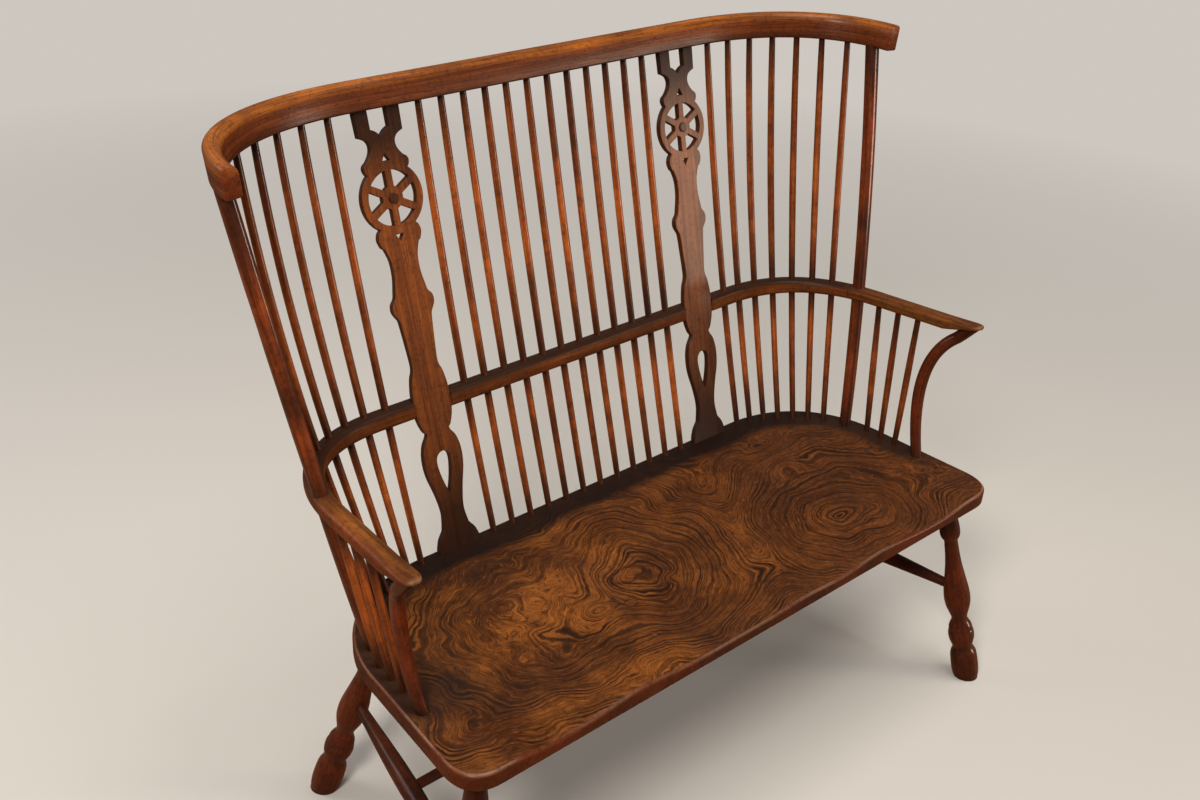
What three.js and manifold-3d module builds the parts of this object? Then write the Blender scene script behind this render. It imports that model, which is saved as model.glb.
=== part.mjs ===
// A wooden settee with a tall stick back: a plank seat on four turned and splayed legs, a bent arm bow that
// runs through the back sticks, two pierced wheel splats and a bent crest rail.
// Millimetres. X is along the seat, the front is at -Y and Z is up.

import * as THREE from 'three';
import { mergeVertices } from 'three/addons/utils/BufferGeometryUtils.js';
import Module from 'manifold-3d';

const wasm = await Module();
wasm.setup();

// The whole settee. Depths are measured from the front edge of the seat, heights over the seat from its top.
const seat_height = 435;
const clearance = 0.3;

// Seat plank: a straight front, round front corners, sides that taper and a back that sweeps round.
const seat = {
  half_width: 586,
  depth: 447,
  thickness: 38,
  front_corner: 55,
  rear_taper: 14,
  sweep_depth: 204,
  sweep_width: 217,
  sweep_share: 0.59,
  edge_round: 4,
  chamfer_height: 11,
  chamfer_inset: 16,
  hollow: 9,
  hollow_rear_rim: 102,
  hollow_fade: 130,
  rim: 60,
  rim_fade: 100,
  place_middle_share: 0.47,
  pommel_width: 75,
  pommel_reach: 260,
  middle_width: 90,
};

// The curve of stick holes in the seat, set in from the seat's edge.
const seat_row = {
  side_inset: 36,
  rear_inset: 12.5,
  corner_width: 230,
  corner_depth: 192,
  handle_share: 0.55,
  front_flare: 4.5,
  front_end: 140,
};

// Arm bow: one bent bar of nearly square section that rises a little to the front and ends in two paddles.
// It stands out from the row of stick holes.
const bow = {
  top_height: 250,
  thickness: 27,
  width: 28,
  side_flare: 30.5,
  rear_flare: 71.5,
  rise_share: 0.066,
  corner_width: 197.5,
  corner_depth: 195,
  handle_share: 0.62,
  front_flare: 15.5,
  front_end: 98,
  arm_width: 31.5,
  arm_thickness: 23.5,
  thin_length: 70,
  tip_thickness: 5.5,
  tip_length: 24,
  tip_width: 8,
  edge: 9,
};

// Crest rail: one bent rail that leans back with the sticks and returns forward at its ends.
// It stands out from the arm bow.
const crest = {
  bottom_height: 681.5,
  height: 44.5,
  thickness: 23.5,
  side_flare: 55.5,
  rear_flare: 115,
  corner_width: 296,
  corner_depth: 210,
  handle_share: 0.6,
  back_lean_share: 0.25,
  side_lean_share: 0.1,
  front_round: 14,
  back_round: 6,
  lower_round: 3,
  end_round: 5,
  end_height_share: 0.92,
  end_thickness_share: 0.86,
};

// Sticks: slim rods that swell a little between the arm bow and the crest rail.
const stick = {
  end_radius: 5.2,
  bow_radius: 5.8,
  swell_radius: 6.2,
  seat_socket: 17,
  crest_socket: 22,
  middle_count: 12,
  side_count: 7,
  sides: 8,
};

// How far each stick beside a splat stands from the splat's middle, and the post from the last side stick.
const splat_to_inner = { seat: 70.85, bow: 71.25, crest: 76.4 };
const splat_to_outer = { seat: 76, bow: 78.1, crest: 80 };
const post_step = { seat: 42, bow: 53, crest: 47 };

// Posts: thick sticks, placed by their distance along each curve from its front end.
const post = {
  from_seat_end: 170.6,
  from_bow_end: 257.3,
  from_crest_end: 40.1,
  seat_radius: 9.6,
  bow_radius: 10.6,
  crest_radius: 11,
  square_share: 0.1,
  sides: 12,
};

// Short sticks under each arm: how far to the front of the post they leave the seat and meet the arm.
const short_stick = {
  seat_start: 42.2,
  seat_pitch: 31.75,
  bow_start: 46.3,
  bow_pitch: 42,
  socket: 12,
  count: 3,
};

// Crook: the swept support under the front of each arm, placed from the arm's tip. Heights are shares of
// the arm's height, and the instep and the toe rise over the plain underside of the arm into its wedge.
const crook = {
  foot_back: 55,
  knee_out: 12.5,
  knee_back: 36,
  knee_share: 0.38,
  shoulder_out: 13.5,
  shoulder_back: 41,
  shoulder_share: 0.775,
  head_back: 43,
  head_drop: 11.5,
  instep_back: 30.5,
  instep_rise: 2.2,
  toe_back: 6,
  toe_rise: 19.5,
  foot_radius: 9.8,
  body_radius: 11,
  toe_width: 18,
  toe_thickness: 8,
  sides: 10,
  steps: 9,
};

// Splat: a flat board, pierced with a wheel, that stands in front of the bow and is let into it.
const splat = {
  foot_from_corner: 33,
  head_from_corner: 37,
  row_gap: 6,
  thickness: 10.7,
  wheel_from_head: 130.7,
  wheel_radius: 53,
  wheel_join_share: 0.83,
  head_join_share: 0.745,
  rim: 11.5,
  spokes: 6,
  spoke_width: 11,
  hub_radius: 18,
  boss_radius: 8,
  boss_height: 3,
  tear_foot: 98,
  tear_head: 169,
  tear_half_width: 13,
  tear_widest: 152,
  fork_gap: 32,
  fork_depth: 30.7,
  fork_notch: 8.4,
  tenon: 15,
};

// A line round the back: how far it reaches to the side and back, and where its swept corner starts and ends.
function sweptLine(half_width, depth, { corner_width, corner_depth }) {
  return { half_width, depth, half_straight: half_width - corner_width, corner_end: depth - corner_depth };
}

const row_line = sweptLine(seat.half_width - seat_row.side_inset, seat.depth - seat_row.rear_inset, seat_row);
const bow_line = sweptLine(row_line.half_width + bow.side_flare, row_line.depth + bow.rear_flare, bow);
const crest_line = sweptLine(bow_line.half_width + crest.side_flare, bow_line.depth + crest.rear_flare, crest);

// The splat's foot stands before the row and its head in the middle of the crest rail.
const splat_foot_along = row_line.half_straight - splat.foot_from_corner;
const splat_head_along = crest_line.half_straight - splat.head_from_corner;
const splat_depth = row_line.depth - splat.row_gap;
const splat_lean = (crest_line.depth - splat.thickness / 2 - splat_depth) / crest.bottom_height;
const splat_length = crest.bottom_height * Math.hypot(1, splat_lean);
const wheel_height = splat_length - splat.wheel_from_head;
const fork_foot = splat_length - splat.fork_depth;

// Legs: turned with a collar, a slim neck, a long swelling, a grooved ball and a foot, and splayed both ways.
const leg = {
  shoulder_gap: 1,
  socket_floor: 7,
  front_inset: [55, 59],
  front_splay: [70, -81],
  rear_inset: [140, 47],
  rear_splay: [80, 96],
  tenon_radius: 15,
  collar_radius: 18.8,
  neck_radius: 12.3,
  belly_radius: 24.5,
  waist_radius: 14.6,
  ball_radius: 24.5,
  ankle_radius: 18.3,
  foot_radius: 26,
  toe_radius: 22.5,
  stretcher_share: 0.485,
  sides: 12,
};

// The leg's tenon stops short of the sockets of the sticks over it.
const leg_tenon = seat.thickness + leg.shoulder_gap - stick.seat_socket - leg.socket_floor;

const stretcher = {
  end_radius: 8.7,
  middle_radius: 15.6,
  cross_end_radius: 8.2,
  cross_middle_radius: 14.5,
  leg_socket: 15.5,
  cross_socket: 10,
  sides: 10,
};

const up = new THREE.Vector3(0, 0, 1);

const finish = {
  polished: new THREE.MeshStandardMaterial({ color: 0x8a4a1e, roughness: 0.38, metalness: 0 }),
  dark: new THREE.MeshStandardMaterial({ color: 0x3d1c10, roughness: 0.42, metalness: 0 }),
  seat: new THREE.MeshStandardMaterial({ color: 0x6e3c1a, roughness: 0.4, metalness: 0 }),
};

// A point of the settee from a place along, a depth and a height over the seat.
function place(along, depth, over_seat) {
  return new THREE.Vector3(along, depth, seat_height + over_seat);
}

function mirrored(point, side) {
  return new THREE.Vector3(point.x * side, point.y, point.z);
}

// Skins a row of closed rings, each with as many points, and closes both ends with a strip across the ring.
function skin(rings) {
  const sides = rings[0].length;
  const last = (rings.length - 1) * sides;
  const faces = [];
  for (let start = 0; start < last; start += sides) {
    for (let corner = 0; corner < sides; corner += 1) {
      const here = start + corner;
      const next = start + (corner + 1) % sides;
      faces.push(here, next, next + sides, here, next + sides, here + sides);
    }
  }
  for (let near = 0; near + 1 < sides - 1 - near; near += 1) {
    const far = sides - 1 - near;
    faces.push(near, far, near + 1, last + near, last + near + 1, last + far);
    if (near + 1 < far - 1) {
      faces.push(far, far - 1, near + 1, last + far, last + near + 1, last + far - 1);
    }
  }
  const geometry = new THREE.BufferGeometry();
  const points = rings.flat().flatMap((point) => point.toArray());
  geometry.setAttribute('position', new THREE.Float32BufferAttribute(points, 3));
  geometry.setIndex(faces);
  return geometry;
}

// A closed body that manifold can cut, from a closed mesh.
function body(geometry) {
  const bare = geometry.clone();
  bare.deleteAttribute('normal');
  bare.deleteAttribute('uv');
  const merged = mergeVertices(bare);
  return new wasm.Manifold(new wasm.Mesh({
    numProp: 3,
    vertProperties: merged.attributes.position.array,
    triVerts: Uint32Array.from(merged.index.array),
  }));
}

function meshOf(name, solid, material) {
  const cut = solid.getMesh();
  const geometry = new THREE.BufferGeometry();
  geometry.setAttribute('position', new THREE.BufferAttribute(Float32Array.from(cut.vertProperties), 3));
  geometry.setIndex(new THREE.BufferAttribute(Uint32Array.from(cut.triVerts), 1));
  geometry.computeVertexNormals();
  const mesh = new THREE.Mesh(geometry, material.clone());
  mesh.name = name;
  return mesh;
}

// A ring across a path: outline points are [outward, upward] pairs in the plane across the tangent.
function ringAcross(centre, tangent, upward, outline) {
  const outward = new THREE.Vector3().crossVectors(upward, tangent).normalize();
  const raised = new THREE.Vector3().crossVectors(tangent, outward).normalize();
  return outline.map(([across, rise]) => centre.clone()
    .addScaledVector(outward, across)
    .addScaledVector(raised, rise));
}

// An oval outline; a square share above nothing pushes it towards a rounded square.
function oval(half_width, half_height, sides, square_share = 0) {
  return Array.from({ length: sides }, (_, corner) => {
    const angle = (corner + 0.5) * 2 * Math.PI / sides;
    const swell = 1 + square_share * Math.sin(2 * angle) ** 2;
    return [half_width * swell * Math.cos(angle), half_height * swell * Math.sin(angle)];
  });
}

// A bar outline with cut corners.
function barOutline(width, height, edge) {
  const half_width = width / 2;
  const half_height = height / 2;
  const corner = Math.min(edge, half_width, half_height) / 2;
  const quarter = [[half_width, half_height - corner], [half_width - corner, half_height]];
  const left = quarter.map(([across, rise]) => [-across, rise]).reverse();
  const low = [...quarter, ...left].map(([across, rise]) => [across, -rise]).reverse();
  return [...quarter, ...left, ...low];
}

// The right half of a plan curve: straight across the back, round a swept corner and, if it has one, along
// the arm to its front end.
function planCurve(line, { handle_share, front_flare = 0, front_end = line.corner_end }) {
  const curve = new THREE.CurvePath();
  const corner_start = new THREE.Vector3(line.half_straight, line.depth, 0);
  const corner_finish = new THREE.Vector3(line.half_width, line.corner_end, 0);
  const first_reach = handle_share * (line.half_width - line.half_straight);
  const first = corner_start.clone().add(new THREE.Vector3(first_reach, 0, 0));
  const has_arm = front_end < line.corner_end;
  const arm_slope = has_arm ? front_flare / (line.corner_end - front_end) : 0;
  const second_rise = handle_share * (line.depth - line.corner_end);
  const second = corner_finish.clone().add(new THREE.Vector3(-arm_slope * second_rise, second_rise, 0));
  curve.add(new THREE.LineCurve3(new THREE.Vector3(0, line.depth, 0), corner_start));
  curve.add(new THREE.CubicBezierCurve3(corner_start, first, second, corner_finish));
  if (has_arm) {
    const tip = new THREE.Vector3(line.half_width + front_flare, front_end, 0);
    curve.add(new THREE.LineCurve3(corner_finish, tip));
  }
  return curve;
}

const seat_curve = planCurve(row_line, seat_row);
const bow_curve = planCurve(bow_line, bow);
const crest_curve = planCurve(crest_line, crest);

// The point of a plan curve at a distance from the middle of the back.
function planPoint(curve, distance) {
  return curve.getPointAt(Math.min(distance / curve.getLength(), 1));
}

// The height over the seat of the middle of the bow's section at a depth.
function bowHeight(depth) {
  return bow.top_height - bow.thickness / 2 + bow.rise_share * (bow_line.depth - depth);
}

// How far along the seat the side row of holes and the arm's middle lie at a depth, and the arm's underside.
function seatSideAlong(depth) {
  const towards = (row_line.corner_end - depth) / (row_line.corner_end - seat_row.front_end);
  return row_line.half_width + seat_row.front_flare * towards;
}

function armAlong(depth) {
  const towards = (bow_line.corner_end - depth) / (bow_line.corner_end - bow.front_end);
  return bow_line.half_width + bow.front_flare * towards;
}

function armUnderside(depth) {
  return bowHeight(depth) + bow.thickness / 2 - bow.arm_thickness;
}

function smooth(value, from, to) {
  return THREE.MathUtils.smoothstep(value, from, to);
}

function bell(value, width) {
  return Math.exp(-((value / width) ** 2));
}

// How deep the seat is worn and saddled at a point: two sitting places, each with a pommel at the front.
function hollowAt(along, depth) {
  const from_end = seat.half_width - Math.abs(along);
  const hollow_back = seat.depth - seat.hollow_rear_rim;
  const back_fade = 1 - smooth(depth, hollow_back - seat.hollow_fade, hollow_back);
  const side_fade = smooth(from_end, seat.rim, seat.rim + seat.rim_fade);
  const near_front = 1 - smooth(depth, 0, seat.pommel_reach);
  const place_middle = seat.place_middle_share * seat.half_width;
  const pommel = near_front * bell(Math.abs(along) - place_middle, seat.pommel_width);
  const middle = bell(along, seat.middle_width);
  return seat.hollow * back_fade * side_fade * (1 - pommel) * (1 - middle / 2);
}

// The outline of the seat, anticlockwise from the middle of the front, as [along, depth] pairs.
function seatOutline() {
  const half = new THREE.CurvePath();
  const corner = seat.front_corner;
  const rear_half_width = seat.half_width - seat.rear_taper;
  const half_straight = rear_half_width - seat.sweep_width;
  const sweep_start = seat.depth - seat.sweep_depth;
  const point = (along, depth) => new THREE.Vector3(along, depth, 0);
  const corner_front = point(seat.half_width - corner, 0);
  const corner_side = point(seat.half_width, corner);
  const sweep_from = point(rear_half_width, sweep_start);
  const sweep_to = point(half_straight, seat.depth);
  half.add(new THREE.QuadraticBezierCurve3(corner_front, point(seat.half_width, 0), corner_side));
  const sweep_out = point(rear_half_width - seat.rear_taper / 4,
    sweep_start + seat.sweep_share * seat.sweep_depth);
  const sweep_in = point(half_straight + seat.sweep_share * seat.sweep_width, seat.depth);
  half.add(new THREE.CubicBezierCurve3(sweep_from, sweep_out, sweep_in, sweep_to));
  const front_steps = 7;
  const front = Array.from({ length: front_steps }, (_, step) => [corner_front.x * step / front_steps, 0]);
  const corner_points = half.curves[0].getPoints(4);
  const side_steps = 2;
  const side = Array.from({ length: side_steps - 1 }, (_, step) => corner_side.clone()
    .lerp(sweep_from, (step + 1) / side_steps));
  const sweep_points = half.curves[1].getPoints(8);
  const back_steps = 4;
  const back = Array.from({ length: back_steps }, (_, step) => [
    half_straight * (1 - (step + 1) / back_steps), seat.depth]);
  const swept = [...corner_points, ...side, ...sweep_points].map((spot) => [spot.x, spot.y]);
  const right = [...front, ...swept, ...back];
  const left = right.slice(1, -1).map(([along, depth]) => [-along, depth]).reverse();
  const side_first = [...right, ...left];
  const leftmost = right.length + left.length - corner_points.length - front_steps + 1;
  return [...side_first.slice(leftmost), ...side_first.slice(0, leftmost)];
}

// Seat rings run from the underside out to the edge and in over the hollowed top.
function seatBlank() {
  const outline = seatOutline();
  const spine_half = seat.half_width - seat.depth / 2;
  const spine_depth = seat.depth / 2;
  const ring = (inset, height, follows_hollow) => outline.map(([along, depth]) => {
    const centre_along = THREE.MathUtils.clamp(along, -spine_half, spine_half);
    const share = 1 - inset / spine_depth;
    const ring_along = centre_along + (along - centre_along) * share;
    const ring_depth = spine_depth + (depth - spine_depth) * share;
    const drop = follows_hollow ? hollowAt(ring_along, ring_depth) : 0;
    return place(ring_along, ring_depth, height - drop);
  });
  const rim_middle = seat.rim + seat.rim_fade / 2;
  const over_edge = [seat.edge_round, seat.rim, rim_middle, spine_depth * 0.68, spine_depth * 0.9];
  return skin([
    ring(seat.chamfer_inset, -seat.thickness, false),
    ring(0, seat.chamfer_height - seat.thickness, false),
    ring(0, -seat.edge_round, true),
    ...over_edge.map((inset) => ring(inset, 0, true)),
  ]);
}

// The outline of the crest's section: its foot in the middle, a rolled front top and rounded edges.
function crestOutline(height, thickness) {
  const half = thickness / 2;
  const scale = height / crest.height;
  const roll = crest.front_round * scale;
  const back = crest.back_round * scale;
  const lower = crest.lower_round * scale;
  const front_arc = Array.from({ length: 3 }, (_, step) => {
    const angle = Math.PI / 2 * (1 + step / 2);
    return [roll - half + roll * Math.cos(angle), height - roll + roll * Math.sin(angle)];
  });
  return [
    [half - lower, 0], [half, lower], [half, height - back], [half - back, height],
    ...front_arc,
    [-half, lower], [lower - half, 0],
  ];
}

// The whole crest path, from its left end to its right, as points with their tangents.
function wholePath(curve, distances) {
  const right = distances.map((distance) => {
    const share = Math.min(distance / curve.getLength(), 1);
    return { point: curve.getPointAt(share), tangent: curve.getTangentAt(share), distance };
  });
  const left = right.filter(({ distance }) => distance > 0).reverse().map(({ point, tangent, distance }) => ({
    point: mirrored(point, -1),
    tangent: new THREE.Vector3(tangent.x, -tangent.y, tangent.z),
    distance,
  }));
  return [...left, ...right];
}

// Distances along a plan curve: the straight back in one step, then even steps round the corner.
function curveSteps(curve, straight, corner_steps, ends) {
  const corner_length = curve.curves[1].getLength();
  const step_length = corner_length / corner_steps;
  const corner = Array.from({ length: corner_steps + 1 }, (_, step) => straight + step_length * step);
  return [0, ...corner, ...ends].sort((one, other) => one - other);
}

function crestRail() {
  const length = crest_curve.getLength();
  const end_shares = [0.5, 0.15, 0];
  const ends = end_shares.map((share) => length - share * crest.end_round);
  const steps = curveSteps(crest_curve, crest_line.half_straight, 8, [])
    .filter((distance) => distance < length - crest.end_round);
  const path = wholePath(crest_curve, [...steps, length - crest.end_round, ...ends]);
  return skin(path.map(({ point, tangent, distance }) => {
    const past = Math.max(0, distance - (length - crest.end_round)) / crest.end_round;
    const round = Math.sqrt(Math.max(0, 1 - past ** 2));
    const height = crest.height * THREE.MathUtils.lerp(crest.end_height_share, 1, round);
    const thickness = crest.thickness * THREE.MathUtils.lerp(crest.end_thickness_share, 1, round);
    const outward = new THREE.Vector3().crossVectors(up, tangent).normalize();
    const lean_share = crest.back_lean_share * outward.y ** 2 + crest.side_lean_share * outward.x ** 2;
    const leaning = up.clone().addScaledVector(outward, lean_share).normalize();
    const lift = (crest.height - height) / 2;
    const raised = crestOutline(height, thickness).map(([across, rise]) => [across, rise + lift]);
    return ringAcross(place(point.x, point.y, crest.bottom_height), tangent, leaning, raised);
  }));
}

// The arm bow's section grows into a flat paddle to the front, whose underside rises to a thin, round tip.
function armBow(drop = 0) {
  const length = bow_curve.getLength();
  const tip_shares = [0.5, 0.15, 0];
  const tip_start = length - bow.tip_length;
  const thin_start = length - bow.thin_length;
  const corner_end = bow_line.half_straight + bow_curve.curves[1].getLength();
  const steps = curveSteps(bow_curve, bow_line.half_straight, 8, [(corner_end + thin_start) / 2, thin_start,
    tip_start, ...tip_shares.map((share) => length - share * bow.tip_length)]);
  const tilted = new THREE.Vector3(0, bow.rise_share, 1).normalize();
  return skin(wholePath(bow_curve, steps).map(({ point, tangent, distance }) => {
    const to_arm = smooth(distance, bow_line.half_straight, corner_end);
    const past_tip = Math.max(0, distance - tip_start) / bow.tip_length;
    const round = Math.sqrt(Math.max(0, 1 - past_tip ** 2));
    const full = THREE.MathUtils.lerp(bow.width, bow.arm_width, to_arm);
    const width = THREE.MathUtils.lerp(bow.tip_width, full, round);
    const flat = THREE.MathUtils.lerp(bow.thickness, bow.arm_thickness, to_arm);
    const thinned = Math.max(0, distance - thin_start) / bow.thin_length;
    const thickness = THREE.MathUtils.lerp(flat, bow.tip_thickness, thinned);
    const centre = place(point.x, point.y, bowHeight(point.y) + (bow.thickness - thickness) / 2 - drop);
    const along = tangent.clone().setZ(-bow.rise_share * tangent.y).normalize();
    return ringAcross(centre, along, tilted, barOutline(width, thickness, bow.edge));
  }));
}

// A parabola through three points, read at a height.
function bowed(low, middle, high, height) {
  const towards = (height - low.z) / (high.z - low.z);
  const knee = (middle.z - low.z) / (high.z - low.z);
  const straight = low.clone().lerp(high, knee);
  const bend = middle.clone().sub(straight).setZ(0).divideScalar(knee * (1 - knee));
  return low.clone().lerp(high, towards).addScaledVector(bend, towards * (1 - towards));
}

// A rod through its seat, bow and crest points. Extra radius and length make the cutter for its holes.
function rod(low, middle, high, radii, sides, square_share, extra) {
  const seat_end = low.z - stick.seat_socket - extra;
  const crest_end = high.z + stick.crest_socket + extra;
  const heights = [seat_end, (low.z + middle.z) / 2, (2 * middle.z + high.z) / 3, (middle.z + 2 * high.z) / 3,
    crest_end];
  return skin(heights.map((height, step) => {
    const centre = bowed(low, middle, high, height);
    const ahead = bowed(low, middle, high, height + clearance).sub(centre).normalize();
    const radius = radii[step] + extra;
    return ringAcross(centre, ahead, new THREE.Vector3(0, 1, 0), oval(radius, radius, sides, square_share));
  }));
}

function stickPoints(seat_point, bow_point, crest_point, side) {
  return [
    place(side * seat_point.x, seat_point.y, 0),
    place(side * bow_point.x, bow_point.y, bowHeight(bow_point.y)),
    place(side * crest_point.x, crest_point.y, crest.bottom_height),
  ];
}

const stick_radii = [
  stick.end_radius, stick.bow_radius, stick.swell_radius, stick.swell_radius, stick.end_radius,
];
const post_radii = [
  post.seat_radius, post.bow_radius, post.bow_radius, post.crest_radius, post.crest_radius,
];

// Where the splat's middle crosses the bow.
const splat_bow_along = THREE.MathUtils.lerp(splat_foot_along, splat_head_along,
  bow.top_height / crest.bottom_height);

// The sticks at the seat, the bow and the crest: the curve that they stand on, the first side stick's and the
// post's distance along it from its middle, and how far a middle stick reaches from the middle of the settee.
const seat_stand = {
  curve: seat_curve,
  middle_reach: splat_foot_along - splat_to_inner.seat,
  side_start: splat_foot_along + splat_to_outer.seat,
  post: seat_curve.getLength() - post.from_seat_end,
  post_step: post_step.seat,
};
const bow_stand = {
  curve: bow_curve,
  middle_reach: splat_bow_along - splat_to_inner.bow,
  side_start: splat_bow_along + splat_to_outer.bow,
  post: bow_curve.getLength() - post.from_bow_end,
  post_step: post_step.bow,
};
const crest_stand = {
  curve: crest_curve,
  middle_reach: splat_head_along - splat_to_inner.crest,
  side_start: splat_head_along + splat_to_outer.crest,
  post: crest_curve.getLength() - post.from_crest_end,
  post_step: post_step.crest,
};

// Where a middle stick crosses a curve; the share runs from -1 at the left splat to 1 at the right one.
function middlePoint({ curve, middle_reach }, share) {
  return planPoint(curve, 0).setX(share * middle_reach);
}

// Where a side stick crosses a curve: even steps from beside the splat to short of the post.
function sidePoint({ curve, side_start, post: post_place, post_step: last_step }, index) {
  const pitch = (post_place - last_step - side_start) / (stick.side_count - 1);
  return planPoint(curve, side_start + index * pitch);
}

function postPoint({ curve, post: post_place }) {
  return planPoint(curve, post_place);
}

// Every long stick and post as a name and a maker that takes the extra size of a cutter.
function longSticks() {
  const sticks = [];
  const add = (name, points, radii, sides, square_share) => {
    sticks.push({ name, make: (extra) => rod(...points, radii, sides, square_share, extra) });
  };
  for (let index = 0; index < stick.middle_count; index += 1) {
    const share = 2 * index / (stick.middle_count - 1) - 1;
    const points = stickPoints(middlePoint(seat_stand, share), middlePoint(bow_stand, share),
      middlePoint(crest_stand, share), 1);
    add(`spindle_middle_${index + 1}`, points, stick_radii, stick.sides, 0);
  }
  for (const [label, side] of [['left', -1], ['right', 1]]) {
    for (let index = 0; index < stick.side_count; index += 1) {
      const points = stickPoints(sidePoint(seat_stand, index), sidePoint(bow_stand, index),
        sidePoint(crest_stand, index), side);
      add(`spindle_${label}_${index + 1}`, points, stick_radii, stick.sides, 0);
    }
    const post_points = stickPoints(postPoint(seat_stand), postPoint(bow_stand), postPoint(crest_stand),
      side);
    add(`back_post_${label}`, post_points, post_radii, post.sides, post.square_share);
  }
  return sticks;
}

// Short sticks from the seat into the underside of each arm.
function shortSticks() {
  const sticks = [];
  for (const [label, side] of [['left', -1], ['right', 1]]) {
    for (let index = 0; index < short_stick.count; index += 1) {
      const seat_depth = postPoint(seat_stand).y - short_stick.seat_start - index * short_stick.seat_pitch;
      const bow_depth = postPoint(bow_stand).y - short_stick.bow_start - index * short_stick.bow_pitch;
      const low = place(side * seatSideAlong(seat_depth), seat_depth, 0);
      const high = place(side * armAlong(bow_depth), bow_depth, armUnderside(bow_depth));
      const ahead = high.clone().sub(low).normalize();
      const make = (extra) => {
        const stations = [
          low.clone().addScaledVector(ahead, -stick.seat_socket - extra),
          low.clone().lerp(high, 0.5),
          high.clone().addScaledVector(ahead, short_stick.socket + extra),
        ];
        const radii = [stick.end_radius, stick.swell_radius, stick.end_radius];
        return skin(stations.map((centre, step) => ringAcross(centre, ahead, new THREE.Vector3(0, 1, 0),
          oval(radii[step] + extra, radii[step] + extra, stick.sides))));
      };
      sticks.push({ name: `arm_spindle_${label}_${index + 1}`, make });
    }
  }
  return sticks;
}

// The crook rises from the seat, sweeps forward and tapers to its toe under the wedge at the arm's tip.
function crookBody(side, extra) {
  const underArm = (back, rise) => {
    const depth = bow.front_end + back;
    return place(side * armAlong(depth), depth, armUnderside(depth) + rise);
  };
  const foot_depth = bow.front_end + crook.foot_back;
  const foot_along = seatSideAlong(foot_depth);
  const arm_height = armUnderside(bow.front_end + crook.head_back);
  const foot = place(side * foot_along, foot_depth, 0);
  const knee = place(side * (foot_along + crook.knee_out), foot_depth + crook.knee_back,
    arm_height * crook.knee_share);
  const shoulder = place(side * (foot_along + crook.shoulder_out), foot_depth + crook.shoulder_back,
    arm_height * crook.shoulder_share);
  const head = underArm(crook.head_back, -crook.head_drop);
  const instep = underArm(crook.instep_back, crook.instep_rise);
  const toe = underArm(crook.toe_back, crook.toe_rise);
  const rise = new THREE.CubicBezierCurve3(foot, knee, shoulder, head);
  const foot_tangent = rise.getTangent(0);
  const root = foot.clone().addScaledVector(foot_tangent, -stick.seat_socket - extra);
  const stations = [{ centre: root, tangent: foot_tangent, share: 0 }];
  for (let step = 0; step <= crook.steps; step += 1) {
    const share = step / crook.steps;
    stations.push({ centre: rise.getPoint(share), tangent: rise.getTangent(share), share });
  }
  stations.push({ centre: instep, tangent: toe.clone().sub(head).normalize(), share: 1 });
  const rings = stations.map(({ centre, tangent, share }) => {
    const radius = THREE.MathUtils.lerp(crook.foot_radius, crook.body_radius, smooth(share, 0, 0.5)) + extra;
    return ringAcross(centre, tangent, new THREE.Vector3(1, 0, 0), oval(radius, radius, crook.sides));
  });
  const toe_tangent = toe.clone().sub(instep).normalize();
  const toe_outline = oval(crook.toe_thickness / 2, crook.toe_width / 2, crook.sides);
  rings.push(ringAcross(toe, toe_tangent, new THREE.Vector3(1, 0, 0), toe_outline));
  return skin(rings);
}

// Half widths of the splat as [height share, width share of the wheel's radius] pairs: up its lower edge from
// the foot to where the wheel's round side starts, and up its head from the wheel to the crest rail.
const splat_edge_shares = [
  [0, 0.75], [0.02, 0.73], [0.046, 0.63], [0.066, 0.48], [0.077, 0.44], [0.126, 0.375], [0.186, 0.47],
  [0.252, 0.64], [0.306, 0.67], [0.348, 0.58], [0.372, 0.43], [0.383, 0.39], [0.393, 0.48], [0.425, 0.59],
  [0.458, 0.63], [0.511, 0.62], [0.558, 0.54], [0.578, 0.46], [0.604, 0.435], [0.691, 0.5], [0.731, 0.54],
  [0.741, 0.58], [0.764, 0.7], [0.786, 0.68], [0.802, 0.56], [0.824, 0.51], [0.863, 0.44], [0.91, 0.45],
  [0.947, 0.57], [0.952, 0.64], [0.974, 0.71], [0.992, 0.67], [1, 0.6],
];
const splat_head_shares = [
  [0, 0.62], [0.016, 0.69], [0.101, 0.74], [0.171, 0.7], [0.225, 0.58], [0.342, 0.44], [0.458, 0.41],
  [0.551, 0.5], [0.613, 0.72], [1, 0.74],
];

const splat_foot_half = splat_edge_shares[0][1] * splat.wheel_radius;
const splat_head_half = splat_head_shares[splat_head_shares.length - 1][1] * splat.wheel_radius;

const lower_length = wheel_height - splat.wheel_join_share * splat.wheel_radius;
const head_start = wheel_height + splat.head_join_share * splat.wheel_radius;

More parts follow.
